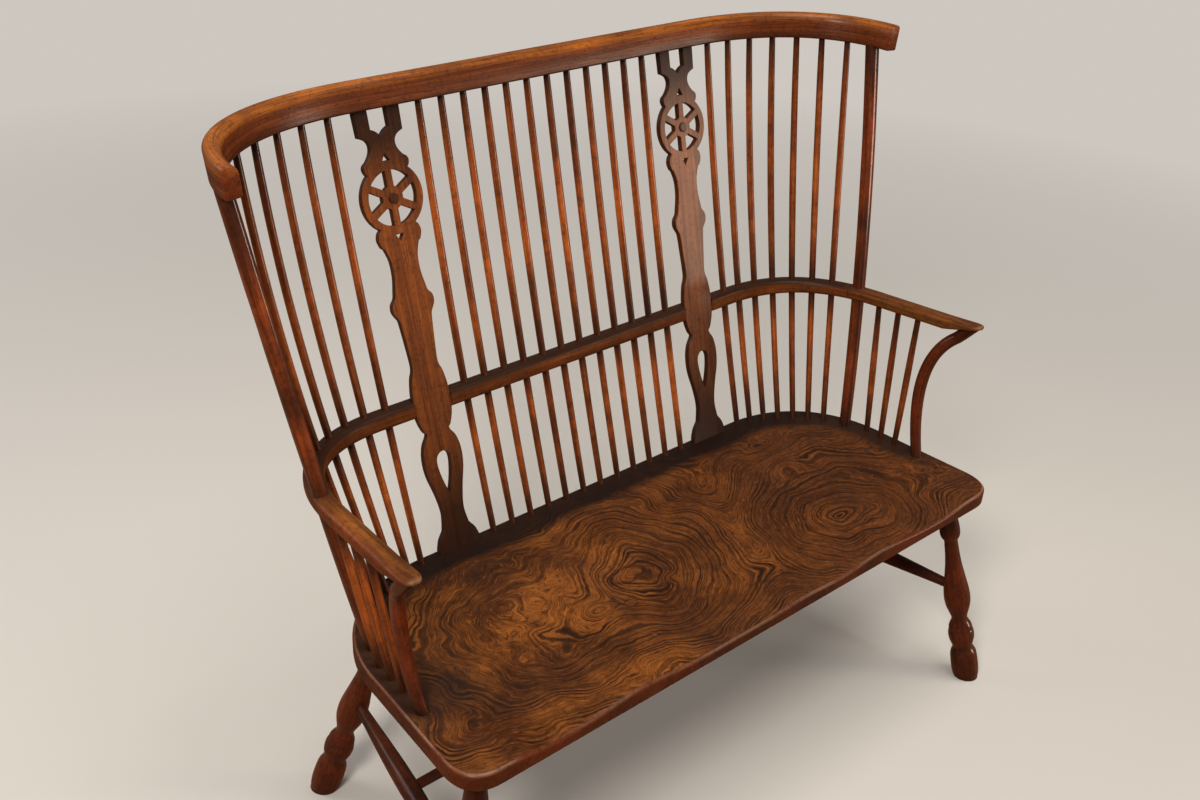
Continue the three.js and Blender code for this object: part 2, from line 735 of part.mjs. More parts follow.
// The edge of the splat: its lower edge, the wheel's round side and its upper edge.
function splatShape() {
  const lowerSpot = ([height_share, width_share]) => [
    width_share * splat.wheel_radius, height_share * lower_length];
  const headSpot = ([height_share, width_share]) => [
    width_share * splat.wheel_radius, THREE.MathUtils.lerp(head_start, splat_length, height_share)];
  const lower = [[splat_foot_half, -splat.tenon], ...splat_edge_shares.map(lowerSpot)];
  const upper = [...splat_head_shares.map(headSpot), [splat_head_half, splat_length + splat.tenon]];
  const [low_width, low_height] = lower[lower.length - 1];
  const [high_width, high_height] = upper[0];
  const from = Math.atan2(low_height - wheel_height, low_width);
  const to = Math.atan2(high_height - wheel_height, high_width);
  const arc_steps = 7;
  const arc = Array.from({ length: arc_steps + 1 }, (_, step) => {
    const angle = THREE.MathUtils.lerp(from, to, step / arc_steps);
    return [splat.wheel_radius * Math.cos(angle), wheel_height + splat.wheel_radius * Math.sin(angle)];
  });
  const fork = [
    [splat.fork_gap / 2, splat_length + splat.tenon],
    [splat.fork_gap / 2, fork_foot + splat.rim / 3],
    [splat.fork_gap / 3, fork_foot + splat.rim / 8],
    [splat.fork_gap / 6, fork_foot - splat.rim / 5],
  ];
  const half = [...lower, ...arc, ...upper, ...fork];
  const left = half.map(([across, height]) => [-across, height]).reverse();
  const outline = [...half, [0, fork_foot - splat.fork_notch], ...left];
  return new THREE.Shape(outline.map(([across, height]) => new THREE.Vector2(across, height)));
}

// Half the splat's width at a height, read from its edge.
function splatHalfWidth(height) {
  const next = splat_edge_shares.findIndex(([height_share]) => height_share * lower_length > height);
  return Math.max(splat_edge_shares[next][1], splat_edge_shares[next - 1][1]) * splat.wheel_radius;
}

// Openings of the wheel: one between each two spokes, with a round outer side.
function wheelHoles() {
  const inner = splat.wheel_radius - splat.rim;
  const half_spoke = splat.spoke_width / 2;
  return Array.from({ length: splat.spokes }, (_, index) => {
    const middle = (index + 0.5) * 2 * Math.PI / splat.spokes + Math.PI / 2;
    const half_span = Math.PI / splat.spokes;
    const outer_turn = half_span - Math.asin(half_spoke / inner);
    const inner_turn = half_span - Math.asin(half_spoke / splat.hub_radius);
    const arc = Array.from({ length: 5 }, (_unused, step) => {
      const angle = middle + outer_turn * (step / 2 - 1);
      return new THREE.Vector2(inner * Math.cos(angle), wheel_height + inner * Math.sin(angle));
    });
    const ends = [1, -1].map((way) => new THREE.Vector2(
      splat.hub_radius * Math.cos(middle + way * inner_turn),
      wheel_height + splat.hub_radius * Math.sin(middle + way * inner_turn)));
    return new THREE.Path([...arc, ...ends]);
  });
}

// The tear-shaped piercing and the two small three-cornered ones over and under the wheel.
function smallHoles() {
  const tear = new THREE.Path();
  const half = splat.tear_half_width;
  tear.moveTo(0, splat.tear_foot);
  tear.bezierCurveTo(half / 2, splat.tear_foot + half, half, splat.tear_widest - half, half, splat.tear_widest);
  tear.bezierCurveTo(half, splat.tear_head - half / 3, half / 2, splat.tear_head, 0, splat.tear_head);
  tear.bezierCurveTo(-half / 2, splat.tear_head, -half, splat.tear_head - half / 3, -half, splat.tear_widest);
  tear.bezierCurveTo(-half, splat.tear_widest - half, -half / 2, splat.tear_foot + half, 0, splat.tear_foot);
  const corner = (way) => new THREE.Path([
    new THREE.Vector2(-splat.rim / 2, wheel_height + way * (splat.wheel_radius + splat.rim / 6)),
    new THREE.Vector2(splat.rim / 2, wheel_height + way * (splat.wheel_radius + splat.rim / 6)),
    new THREE.Vector2(0, wheel_height + way * (splat.wheel_radius + splat.rim)),
  ]);
  return [new THREE.Path(tear.getPoints(4).slice(0, -1)), corner(1), corner(-1)];
}

// Puts a splat drawn flat, with its length along Y, in its leaning place.
function standSplat(geometry, side) {
  const sway = Math.atan((splat_head_along - splat_foot_along) / splat_length);
  const lean = Math.atan(splat_lean);
  geometry.rotateZ(-side * sway);
  geometry.rotateX(Math.PI / 2 - lean);
  const foot = place(side * splat_foot_along, splat_depth, 0);
  geometry.translate(foot.x, foot.y, foot.z);
  return geometry;
}

function splatBody(side) {
  const shape = splatShape();
  shape.holes.push(...wheelHoles(), ...smallHoles());
  const board = new THREE.ExtrudeGeometry(shape, {
    depth: splat.thickness, bevelEnabled: false, curveSegments: 4,
  });
  board.translate(0, 0, -splat.thickness);
  const boss = new THREE.CylinderGeometry(splat.boss_radius, splat.boss_radius, 2 * splat.boss_height, 12);
  boss.rotateX(Math.PI / 2);
  boss.translate(0, wheel_height, 0);
  return body(standSplat(board, side)).add(body(standSplat(boss, side)));
}

// The plain board that clears the splat in the seat, the bow and the crest, run on to the front.
function splatCutter(side, from, to, half_width, before = 0) {
  const depth = splat.thickness + 2 * clearance + before;
  const cutter = new THREE.BoxGeometry(2 * (half_width + clearance), to - from, depth);
  cutter.translate(0, (from + to) / 2, (before - splat.thickness) / 2);
  return body(standSplat(cutter, side));
}

// The leg's turned profile from its tenon to its toe, as [share of the length, radius] pairs.
function legProfile() {
  return [
    [0, leg.tenon_radius], [0.05, leg.tenon_radius], [0.1, leg.collar_radius * 0.88],
    [0.145, leg.collar_radius], [0.185, leg.collar_radius * 0.97], [0.215, leg.neck_radius],
    [0.25, leg.neck_radius], [0.3, leg.neck_radius * 1.1], [0.35, leg.neck_radius * 1.25],
    [0.4, leg.belly_radius * 0.74], [0.44, leg.belly_radius * 0.84], [0.485, leg.belly_radius * 0.95],
    [0.525, leg.belly_radius], [0.555, leg.belly_radius * 0.99], [0.6, leg.belly_radius * 0.83],
    [0.655, leg.waist_radius], [0.68, leg.ball_radius * 0.73], [0.705, leg.ball_radius * 0.9],
    [0.715, leg.ball_radius * 0.88], [0.735, leg.ball_radius], [0.76, leg.ball_radius],
    [0.79, leg.ball_radius * 0.89], [0.82, leg.ankle_radius], [0.835, leg.ankle_radius * 1.09],
    [0.855, leg.foot_radius * 0.93], [0.89, leg.foot_radius], [0.94, leg.foot_radius],
    [0.985, leg.foot_radius * 0.94], [1, leg.toe_radius],
  ];
}

// A turned piece between two points: a lathe profile of [share, radius] pairs, run on past both ends.
function turned(start, end, profile, sides, before, after, extra) {
  const length = start.distanceTo(end);
  const points = profile.map(([share, radius]) => new THREE.Vector2(radius + extra, share * length));
  const first = points[0];
  const last = points[points.length - 1];
  const outline = [
    new THREE.Vector2(0, -before - extra), new THREE.Vector2(first.x, -before - extra), ...points,
    new THREE.Vector2(last.x, length + after + extra), new THREE.Vector2(0, length + after + extra),
  ];
  const geometry = new THREE.LatheGeometry(outline, sides);
  const turn = new THREE.Quaternion().setFromUnitVectors(new THREE.Vector3(0, 1, 0),
    end.clone().sub(start).normalize());
  geometry.applyQuaternion(turn);
  geometry.translate(start.x, start.y, start.z);
  return geometry;
}

const leg_ends = ['front', 'back'];

// The top of a leg is set in from the seat's edges, and its foot is splayed out and to the front or back.
function legEnds(end, side) {
  const is_front = end === 'front';
  const [inset, splay] = is_front ? [leg.front_inset, leg.front_splay] : [leg.rear_inset, leg.rear_splay];
  const along = seat.half_width - inset[0];
  const depth = is_front ? inset[1] : seat.depth - inset[1];
  return {
    top: place(side * along, depth, -seat.thickness - leg.shoulder_gap),
    foot: new THREE.Vector3(side * (along + splay[0]), depth + splay[1], 0),
  };
}

function legBody(end, side, extra) {
  const { top, foot } = legEnds(end, side);
  return body(turned(top, foot, legProfile(), leg.sides, leg_tenon, leg.toe_radius, extra));
}

function stretcherSeat(end, side) {
  const { top, foot } = legEnds(end, side);
  return top.lerp(foot, leg.stretcher_share);
}

// Stretchers swell to their middle; the socket is how far each end stops short of the middle of its carrier.
function stretcherBody(start, end, end_radius, middle_radius, short_by, extra) {
  const ahead = end.clone().sub(start).normalize();
  const from = start.clone().addScaledVector(ahead, short_by);
  const to = end.clone().addScaledVector(ahead, -short_by);
  const swell = (share) => end_radius + (middle_radius - end_radius) * Math.sin(Math.PI * share) ** 1.5;
  const shares = [0, 0.08, 0.2, 0.35, 0.5, 0.65, 0.8, 0.92, 1];
  return body(turned(from, to, shares.map((share) => [share, swell(share)]), stretcher.sides, 0, 0, extra));
}

// A broad slab that cuts everything below a height.
function slabBelow(height) {
  const reach = 4 * seat.half_width;
  const slab = new THREE.BoxGeometry(reach, reach, leg.foot_radius * 4);
  slab.translate(0, 0, height - leg.foot_radius * 2);
  return body(slab);
}

function sideStretcher(side, extra) {
  const start = stretcherSeat('front', side);
  const end = stretcherSeat('back', side);
  return stretcherBody(start, end, stretcher.end_radius, stretcher.middle_radius,
    leg.belly_radius - stretcher.leg_socket, extra);
}

function crossStretcher(extra) {
  const middle = (side) => stretcherSeat('front', side).lerp(stretcherSeat('back', side), 0.5);
  return stretcherBody(middle(-1), middle(1), stretcher.cross_end_radius, stretcher.cross_middle_radius,
    stretcher.middle_radius - stretcher.cross_socket, extra);
}

function assemble() {
  const settee = new THREE.Group();
  const sides = [['left', -1], ['right', 1]];
  const long_sticks = longSticks();
  const short_sticks = shortSticks();
  const cut = (blank, cutters) => cutters.reduce((solid, cutter) => solid.subtract(cutter), blank);
  const on_sides = (make) => sides.map(([, side]) => make(side));
  const stick_cutters = [...long_sticks, ...short_sticks].map(({ make }) => body(make(clearance)));
  const crook_cutters = on_sides((side) => body(crookBody(side, clearance)));
  const splat_feet = on_sides((side) => splatCutter(side, -splat.tenon - clearance, splat.tenon,
    splat_foot_half));
  const leg_cutters = leg_ends.flatMap((end) => on_sides((side) => legBody(end, side, clearance)));
  const seat_cutters = [...stick_cutters, ...crook_cutters, ...splat_feet, ...leg_cutters];
  const seat_solid = cut(body(seatBlank()), seat_cutters);
  settee.add(meshOf('seat', seat_solid, finish.seat));

  const notch_reach = 3 * bow.thickness;
  const notches = on_sides((side) => splatCutter(side, bow.top_height - notch_reach,
    bow.top_height + notch_reach, splatHalfWidth(bow.top_height), bow.width));
  settee.add(meshOf('arm_bow', cut(body(armBow()), [...stick_cutters, ...notches]), finish.polished));

  const splat_heads = on_sides((side) => splatCutter(side, splat_length - splat.tenon,
    splat_length + splat.tenon + clearance, splat_head_half));
  settee.add(meshOf('crest_rail', cut(body(crestRail()), [...stick_cutters, ...splat_heads]), finish.polished));

  for (const { name, make } of [...long_sticks, ...short_sticks]) {
    settee.add(meshOf(name, body(make(0)), finish.dark));
  }
  for (const [label, side] of sides) {
    settee.add(meshOf(`splat_${label}`, splatBody(side), finish.polished));
    const crook_solid = body(crookBody(side, 0)).subtract(body(armBow(clearance)));
    settee.add(meshOf(`arm_crook_${label}`, crook_solid, finish.dark));
    const side_solid = sideStretcher(side, 0).subtract(crossStretcher(clearance));
    settee.add(meshOf(`side_stretcher_${label}`, side_solid, finish.dark));
    for (const end of leg_ends) {
      const turned_leg = cut(legBody(end, side, 0), [sideStretcher(side, clearance), slabBelow(0)]);
      settee.add(meshOf(`leg_${end}_${label}`, turned_leg, finish.dark));
    }
  }
  settee.add(meshOf('cross_stretcher', crossStretcher(0), finish.dark));

  const box = new THREE.Box3().setFromObject(settee, true);
  settee.position.y = -(box.min.y + box.max.y) / 2;
  return settee;
}

export default assemble();
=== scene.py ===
"""An old stick-back settee: a burr elm plank seat on turned legs, with a bent arm bow, wheel splats, many slim
sticks and a bent crest rail, dark red-brown and polished by long use. Metres, in the part's own frame."""

import math

import bmesh
import bpy
from mathutils import Matrix, Vector
from mathutils.geometry import interpolate_bezier
from mathutils.noise import noise


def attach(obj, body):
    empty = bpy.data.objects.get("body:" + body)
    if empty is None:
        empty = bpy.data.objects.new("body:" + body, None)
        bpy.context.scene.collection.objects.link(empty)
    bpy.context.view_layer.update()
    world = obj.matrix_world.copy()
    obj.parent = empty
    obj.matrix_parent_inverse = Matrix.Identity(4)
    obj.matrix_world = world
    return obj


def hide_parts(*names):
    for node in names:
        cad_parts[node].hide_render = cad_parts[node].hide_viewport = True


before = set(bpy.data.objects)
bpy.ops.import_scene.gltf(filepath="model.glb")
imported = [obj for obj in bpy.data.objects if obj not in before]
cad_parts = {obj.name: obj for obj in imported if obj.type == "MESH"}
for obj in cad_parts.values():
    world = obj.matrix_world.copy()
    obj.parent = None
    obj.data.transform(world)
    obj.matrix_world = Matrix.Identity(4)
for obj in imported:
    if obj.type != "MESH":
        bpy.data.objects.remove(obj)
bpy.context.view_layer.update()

# The seat: one thick plank of burr elm, sawn to shape, dished by hand for two sitters with a low ridge
# between them, its edges rounded over and its underside chamfered. Everything else stands in or under it.
SEAT_TOP = 0.435
SEAT_FRONT = -0.29864
SEAT_HALF_WIDTH = 0.586
SEAT_DEPTH = 0.447
SEAT_THICKNESS = 0.038
SEAT_CORNER = 0.055
SEAT_REAR_HALF_WIDTH = 0.572
SEAT_SWEEP_WIDTH = 0.217
SEAT_SWEEP_DEPTH = 0.204
SEAT_SWEEP_DRAW = 0.0035
SWEEP_HANDLE_SHARE = 0.59
EDGE_RADIUS = 0.0075
UNDERSIDE_INSET = 0.024
CHAMFER_STEPS = [(0.016, -0.038, False), (0.0, -0.027, False)]
SPINE_INSET = 0.223
SEAT_HOLLOW = 0.009
HOLLOW_SIDE = (0.06, 0.16)
HOLLOW_REAR = (0.215, 0.345)
POMMEL_PLACE, POMMEL_WIDTH, POMMEL_DEPTH = 0.275, 0.075, 0.26
RIDGE_PLACE, RIDGE_WIDTH, RIDGE_SLANT = 0.07, 0.055, 0.16


def smooth_step(value, start, end):
    share = min(max((value - start) / (end - start), 0.0), 1.0)
    return share * share * (3 - 2 * share)


def bell(value, width):
    return math.exp(-((value / width) ** 2))


def seat_dish(along, depth):
    """How far the worn top lies under the plank's flat rim; its ridge runs aslant, right of the middle."""
    rear_fade = 1 - smooth_step(depth, *HOLLOW_REAR)
    side_fade = smooth_step(SEAT_HALF_WIDTH - abs(along), *HOLLOW_SIDE)
    pommel = (1 - smooth_step(depth, 0, POMMEL_DEPTH)) * bell(abs(along) - POMMEL_PLACE, POMMEL_WIDTH)
    ridge = bell(along - RIDGE_PLACE - RIDGE_SLANT * depth, RIDGE_WIDTH)
    return SEAT_HOLLOW * rear_fade * side_fade * (1 - pommel) * (1 - ridge / 2)


def seat_edge():
    """The plank's outline from the middle of its front round to the middle of its back, then mirrored."""
    corner = interpolate_bezier(
        (SEAT_HALF_WIDTH - SEAT_CORNER, 0, 0), (SEAT_HALF_WIDTH - SEAT_CORNER / 3, 0, 0),
        (SEAT_HALF_WIDTH, SEAT_CORNER / 3, 0), (SEAT_HALF_WIDTH, SEAT_CORNER, 0), 14)
    sweep_start = SEAT_DEPTH - SEAT_SWEEP_DEPTH
    sweep_inner = SEAT_REAR_HALF_WIDTH - SEAT_SWEEP_WIDTH
    sweep = interpolate_bezier(
        (SEAT_REAR_HALF_WIDTH, sweep_start, 0),
        (SEAT_REAR_HALF_WIDTH - SEAT_SWEEP_DRAW, sweep_start + SWEEP_HANDLE_SHARE * SEAT_SWEEP_DEPTH, 0),
        (sweep_inner + SWEEP_HANDLE_SHARE * SEAT_SWEEP_WIDTH, SEAT_DEPTH, 0), (sweep_inner, SEAT_DEPTH, 0), 30)
    front = [Vector((corner[0].x * step / 40, 0, 0)) for step in range(40)]
    side = [corner[-1].lerp(sweep[0], step / 10) for step in range(1, 10)]
    back = [Vector((sweep_inner * (1 - step / 24), SEAT_DEPTH, 0)) for step in range(1, 25)]
    right = front + corner + side + sweep + back
    return right + [Vector((-point.x, point.y, 0)) for point in reversed(right[1:-1])]


def ring_of(bm, points):
    """A closed ring of edges through the points, from a circle with as many corners."""
    corners = bmesh.ops.create_circle(bm, segments=len(points), radius=1)["verts"]
    for corner, point in zip(corners, points):
        corner.co = point
    return corners


def ring_edges(ring):
    """The edges that join a ring's corners."""
    return list({edge for corner in ring for edge in corner.link_edges if edge.other_vert(corner) in ring})


def extrude_ring(bm, ring, points):
    """Extrudes a ring of corners and puts the new ring on the points."""
    made = bmesh.ops.extrude_edge_only(bm, edges=ring_edges(ring))["geom"]
    fresh = {corner for corner in made if isinstance(corner, bmesh.types.BMVert)}
    following = [next(edge.other_vert(corner) for edge in corner.link_edges if edge.other_vert(corner) in fresh)
                 for corner in ring]
    for corner, point in zip(following, points):
        corner.co = point
    return following


def close_ring(bm, ring):
    """Closes a ring of corners with one face."""
    bmesh.ops.edgeloop_fill(bm, edges=ring_edges(ring))


def finish_piece(bm, name, material, nodes, sharp=40):
    """Closes a bmesh as a smooth piece that stands for its CAD nodes on the settee's one body."""
    bmesh.ops.recalc_face_normals(bm, faces=bm.faces)
    mesh = bpy.data.meshes.new(name)
    bm.to_mesh(mesh)
    bm.free()
    mesh.shade_smooth()
    mesh.set_sharp_from_angle(angle=math.radians(sharp))
    mesh.materials.append(material)
    piece = bpy.data.objects.new(name, mesh)
    bpy.context.scene.collection.objects.link(piece)
    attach(piece, "root")
    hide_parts(*nodes)


def srgb(red, green, blue):
    """A colour as the eye reads it, in parts of 255, made linear."""
    return (*(((part / 255 + 0.055) / 1.055) ** 2.4 if part > 10 else part / 255 / 12.92
              for part in (red, green, blue)), 1)


def add(kind, inputs, **settings):
    """A shader node beside the nodes that feed it; each input is given a socket to link or a fixed value."""
    tree = next(value.id_data for value in inputs.values() if isinstance(value, bpy.types.NodeSocket))
    node = tree.nodes.new("ShaderNode" + kind)
    for key, value in settings.items():
        setattr(node, key, value)
    for key, value in inputs.items():
        if isinstance(value, bpy.types.NodeSocket):
            tree.links.new(value, node.inputs[key])
        else:
            node.inputs[key].default_value = value
    return node


def maths(operation, *parts):
    """One step of arithmetic on sockets or numbers."""
    return add("Math", dict(enumerate(parts)), operation=operation).outputs[0]


def times(first, second):
    return maths("MULTIPLY", first, second)


def minus(first, second):
    return maths("SUBTRACT", first, second)


def fade(source, start, end, low=0.0, high=1.0):
    """A mask that runs from low at the start to high at the end and stays level beyond them."""
    limits = {"From Min": start, "From Max": end, "To Min": low, "To Max": high}
    return add("MapRange", {"Value": source, **limits}).outputs[0]


def ramp(source, stops):
    """A grey ramp over the source; its stops are (place, grey)."""
    node = add("ValToRGB", {0: source})
    elements = node.color_ramp.elements
    while len(elements) < len(stops):
        elements.new(0.5)
    for element, (place, grey) in zip(elements, stops):
        element.position = place
        element.color = (grey, grey, grey, 1)
    return node.outputs[0]


def clouds(place, scale, detail, roughness=0.5, distortion=0.0):
    """Soft uneven clouds at a scale."""
    return add("TexNoise", {"Vector": place, "Scale": scale, "Detail": detail, "Roughness": roughness,
                            "Distortion": distortion}).outputs[0]


def stretched(place, scale, turn=(0, 0, 0)):
    """A place stretched by its own scale each way."""
    return add("Mapping", {"Vector": place, "Scale": scale, "Rotation": turn}).outputs[0]


def mixed(share, first, second):
    """Two colours mixed by a share; each is a socket, or red, green and blue in parts of 255."""
    first, second = (srgb(*colour) if isinstance(colour, tuple) else colour for colour in (first, second))
    return add("Mix", {0: share, 6: first, 7: second}, data_type="RGBA").outputs[2]


def stained(wood, mask, strength, stain):
    """A stain laid over the wood's colour where the mask says, at most at its strength."""
    return mixed(times(mask, strength), wood, stain)


def new_group(name, inputs):
    """An empty shader group and its inputs' sockets; each has its usual value, or None for a place."""
    group = bpy.data.node_groups.new(name, "ShaderNodeTree")
    for label, value in inputs.items():
        kind = "NodeSocketVector" if value is None else "NodeSocketFloat"
        socket = group.interface.new_socket(label, in_out="INPUT", socket_type=kind)
        if value is not None:
            socket.default_value = value
    return group, group.nodes.new("NodeGroupInput").outputs


def give_out(group, masks):
    """Ends a shader group with its named masks."""
    for label in masks:
        group.interface.new_socket(label, in_out="OUTPUT", socket_type="NodeSocketFloat")
    result = group.nodes.new("NodeGroupOutput")
    for label, socket in masks.items():
        group.links.new(socket, result.inputs[label])


def handling_group():
    """Long use: grime clouds, fine scratches, specks of dirt, small dark worm holes, and the hand's polish."""
    group, given = new_group("handling", {"Place": None, "Hole Size": 0.0009, "Hole Share": 0.03})
    place = given["Place"]
    wide = clouds(place, 9, 4, 0.6)
    grime = maths("MULTIPLY_ADD", wide, 0.75, times(clouds(place, 60, 5, 0.7), 0.25))
    lines = clouds(stretched(place, (90, 700, 110), (0.3, 0.2, 0.5)), 1, 1)
    per_metre = 110.0
    cells = add("TexVoronoi", {"Vector": place, "Scale": per_metre, "Randomness": 1}).outputs
    chosen = add("TexWhiteNoise", {"Vector": cells["Position"]}).outputs["Value"]
    share = times(given["Hole Share"], fade(wide, 0.42, 0.62, 0.15, 1.6))
    inside = maths("LESS_THAN", cells["Distance"], times(given["Hole Size"], per_metre))
    give_out(group, {
        "Grime": fade(grime, 0.38, 0.66),
        "Scratches": fade(lines, 0.36, 0.3),
        "Worm Holes": times(inside, maths("LESS_THAN", chosen, share)),
        "Polish": fade(wide, 0.35, 0.62),
        "Specks": fade(clouds(place, 130, 3, 0.65), 0.52, 0.66)})
    return group


HANDLING = handling_group()


def new_wood(name, coat, coat_roughness=0.1, mark_name="grain", holes=None):
    """A polished wood, with the place of each point, its mark on the mesh and the traces of long use there."""
    material = bpy.data.materials.new(name)
    material.use_nodes = True
    nodes = material.node_tree.nodes
    polish = {"Coat Weight": coat, "Coat Roughness": coat_roughness, "Specular IOR Level": 0.1}
    for key, value in polish.items():
        nodes["Principled BSDF"].inputs[key].default_value = value
    place = nodes.new("ShaderNodeTexCoord").outputs["Object"]
    mark = nodes.new("ShaderNodeAttribute")
    mark.attribute_name = mark_name
    use = add("Group", {"Place": place, **(holes or {})}, node_tree=HANDLING)
    return material, place, mark.outputs, use.outputs


def finish_wood(material, colour, use, streaks, roughness, relief_depth=0.0005):
    """The specks of dirt, the worm holes, the sheen that the grime varies and the open grain's fine relief."""
    tree = material.node_tree
    specked = stained(colour, use["Specks"], 0.4, (34, 19, 12))
    holed = mixed(use["Worm Holes"], specked, (22, 12, 8))
    grimy = maths("MULTIPLY_ADD", use["Grime"], 0.18, roughness)
    rough = maths("MULTIPLY_ADD", use["Scratches"], 0.12, grimy)
    sunk = maths("MULTIPLY_ADD", use["Worm Holes"], 2.0, times(streaks, 0.5))
    dents = maths("MULTIPLY_ADD", use["Grime"], 0.8, sunk)
    bump = add("Bump", {"Height": dents, "Strength": 0.3, "Distance": relief_depth}, invert=True)
    for key, socket in (("Base Color", holed), ("Roughness", rough), ("Normal", bump.outputs[0])):
        tree.links.new(socket, tree.nodes["Principled BSDF"].inputs[key])
    return material


RING_CENTRES = [((-0.108, -0.082), 0.42, 1.0, 0.0037), ((0.285, -0.185), 0.9, 0.36, 0.0637)]
SWIRLS = [
    ((0.322, -0.015), (0.045, 0.030), -0.036), ((0.345, 0.050), (0.060, 0.022), 0.040),
    ((-0.208, -0.123), (0.022, 0.016), -0.028), ((-0.062, -0.128), (0.016, 0.012), 0.020),
    ((0.110, 0.020), (0.090, 0.030), 0.045),
]
EYES = [
    ((-0.112, -0.080), (0.036, 0.017)), ((-0.159, -0.136), (0.010, 0.008)), ((-0.180, -0.215), (0.007, 0.006)),
]
# Where a shadow of the left arm is painted on the seat, round the left crook's foot.
PAINTED_CROOK_SHADOW = ((-0.485, -0.125), (0.050, 0.060))
STICK_BORDER = (0.078, 0.0555)
BORDER_AT_SIDES = (-0.2, -0.13)
BORDER_AT_REAR = (0.03, 0.1)
RED_EDGE = (0.007, 0.0025)
PHASE_PER_METRE = 840.0


def squared_reach(along, depth):
    """The sum of the squares of a way along and a depth."""
    return maths("MULTIPLY_ADD", along, along, times(depth, depth))


def oval_reach(across, back, centre, reach):
    """The square of how far out a point lies from an oval's centre, where the oval's edge counts as one."""
    along, depth = (maths("DIVIDE", minus(value, middle), limit)
                    for value, middle, limit in zip((across, back), centre, reach))
    return squared_reach(along, depth)


def oval_hill(across, back, centre, reach):
    """A mask that is full at an oval's centre and fades over its reach."""
    return maths("EXPONENT", times(oval_reach(across, back, centre, reach), -1.0))


def growth_level(across, back, place):
    """How far out in the tree each point grew: the least distance from two hearts, with waves laid over it."""
    levels = []
    for (heart_x, heart_y), left_share, right_share, start in RING_CENTRES:
        along = minus(across, heart_x)
        left = times(maths("MINIMUM", along, 0.0), left_share)
        along = maths("MULTIPLY_ADD", maths("MAXIMUM", along, 0.0), right_share, left)
        apart = maths("SQRT", squared_reach(along, minus(back, heart_y)))
        levels.append(maths("ADD", apart, start))
    level = maths("SMOOTH_MIN", *levels, 0.05)
    for centre, reach, rise in SWIRLS:
        level = maths("MULTIPLY_ADD", oval_hill(across, back, centre, reach), rise, level)
    left_waves = fade(across, -0.1, 0.1, 0.042, 0.022)
    for scale, rise in ((3.6, 0.19), (8.0, 0.06), (15.0, left_waves), (46.0, 0.0055), (120.0, 0.0014)):
        level = maths("MULTIPLY_ADD", clouds(place, scale, 1), rise, level)
    return level


def knot_eyes(across, back, place):
    """The small knots, as two masks: the golden eye inside each one and the dark line round it."""
    bend = maths("MULTIPLY_ADD", clouds(place, 60, 2), 0.016, -0.008)
    bent_across, bent_back = maths("ADD", across, bend), minus(back, bend)
    nearest = None
    for centre, reach in EYES:
        apart = maths("SQRT", oval_reach(bent_across, bent_back, centre, reach))
        nearest = apart if nearest is None else maths("MINIMUM", nearest, apart)
    outline = ramp(times(nearest, 0.5), [(0.36, 0.0), (0.44, 1.0), (0.5, 0.75), (0.6, 0.0)])
    return fade(nearest, 0.9, 0.6), outline


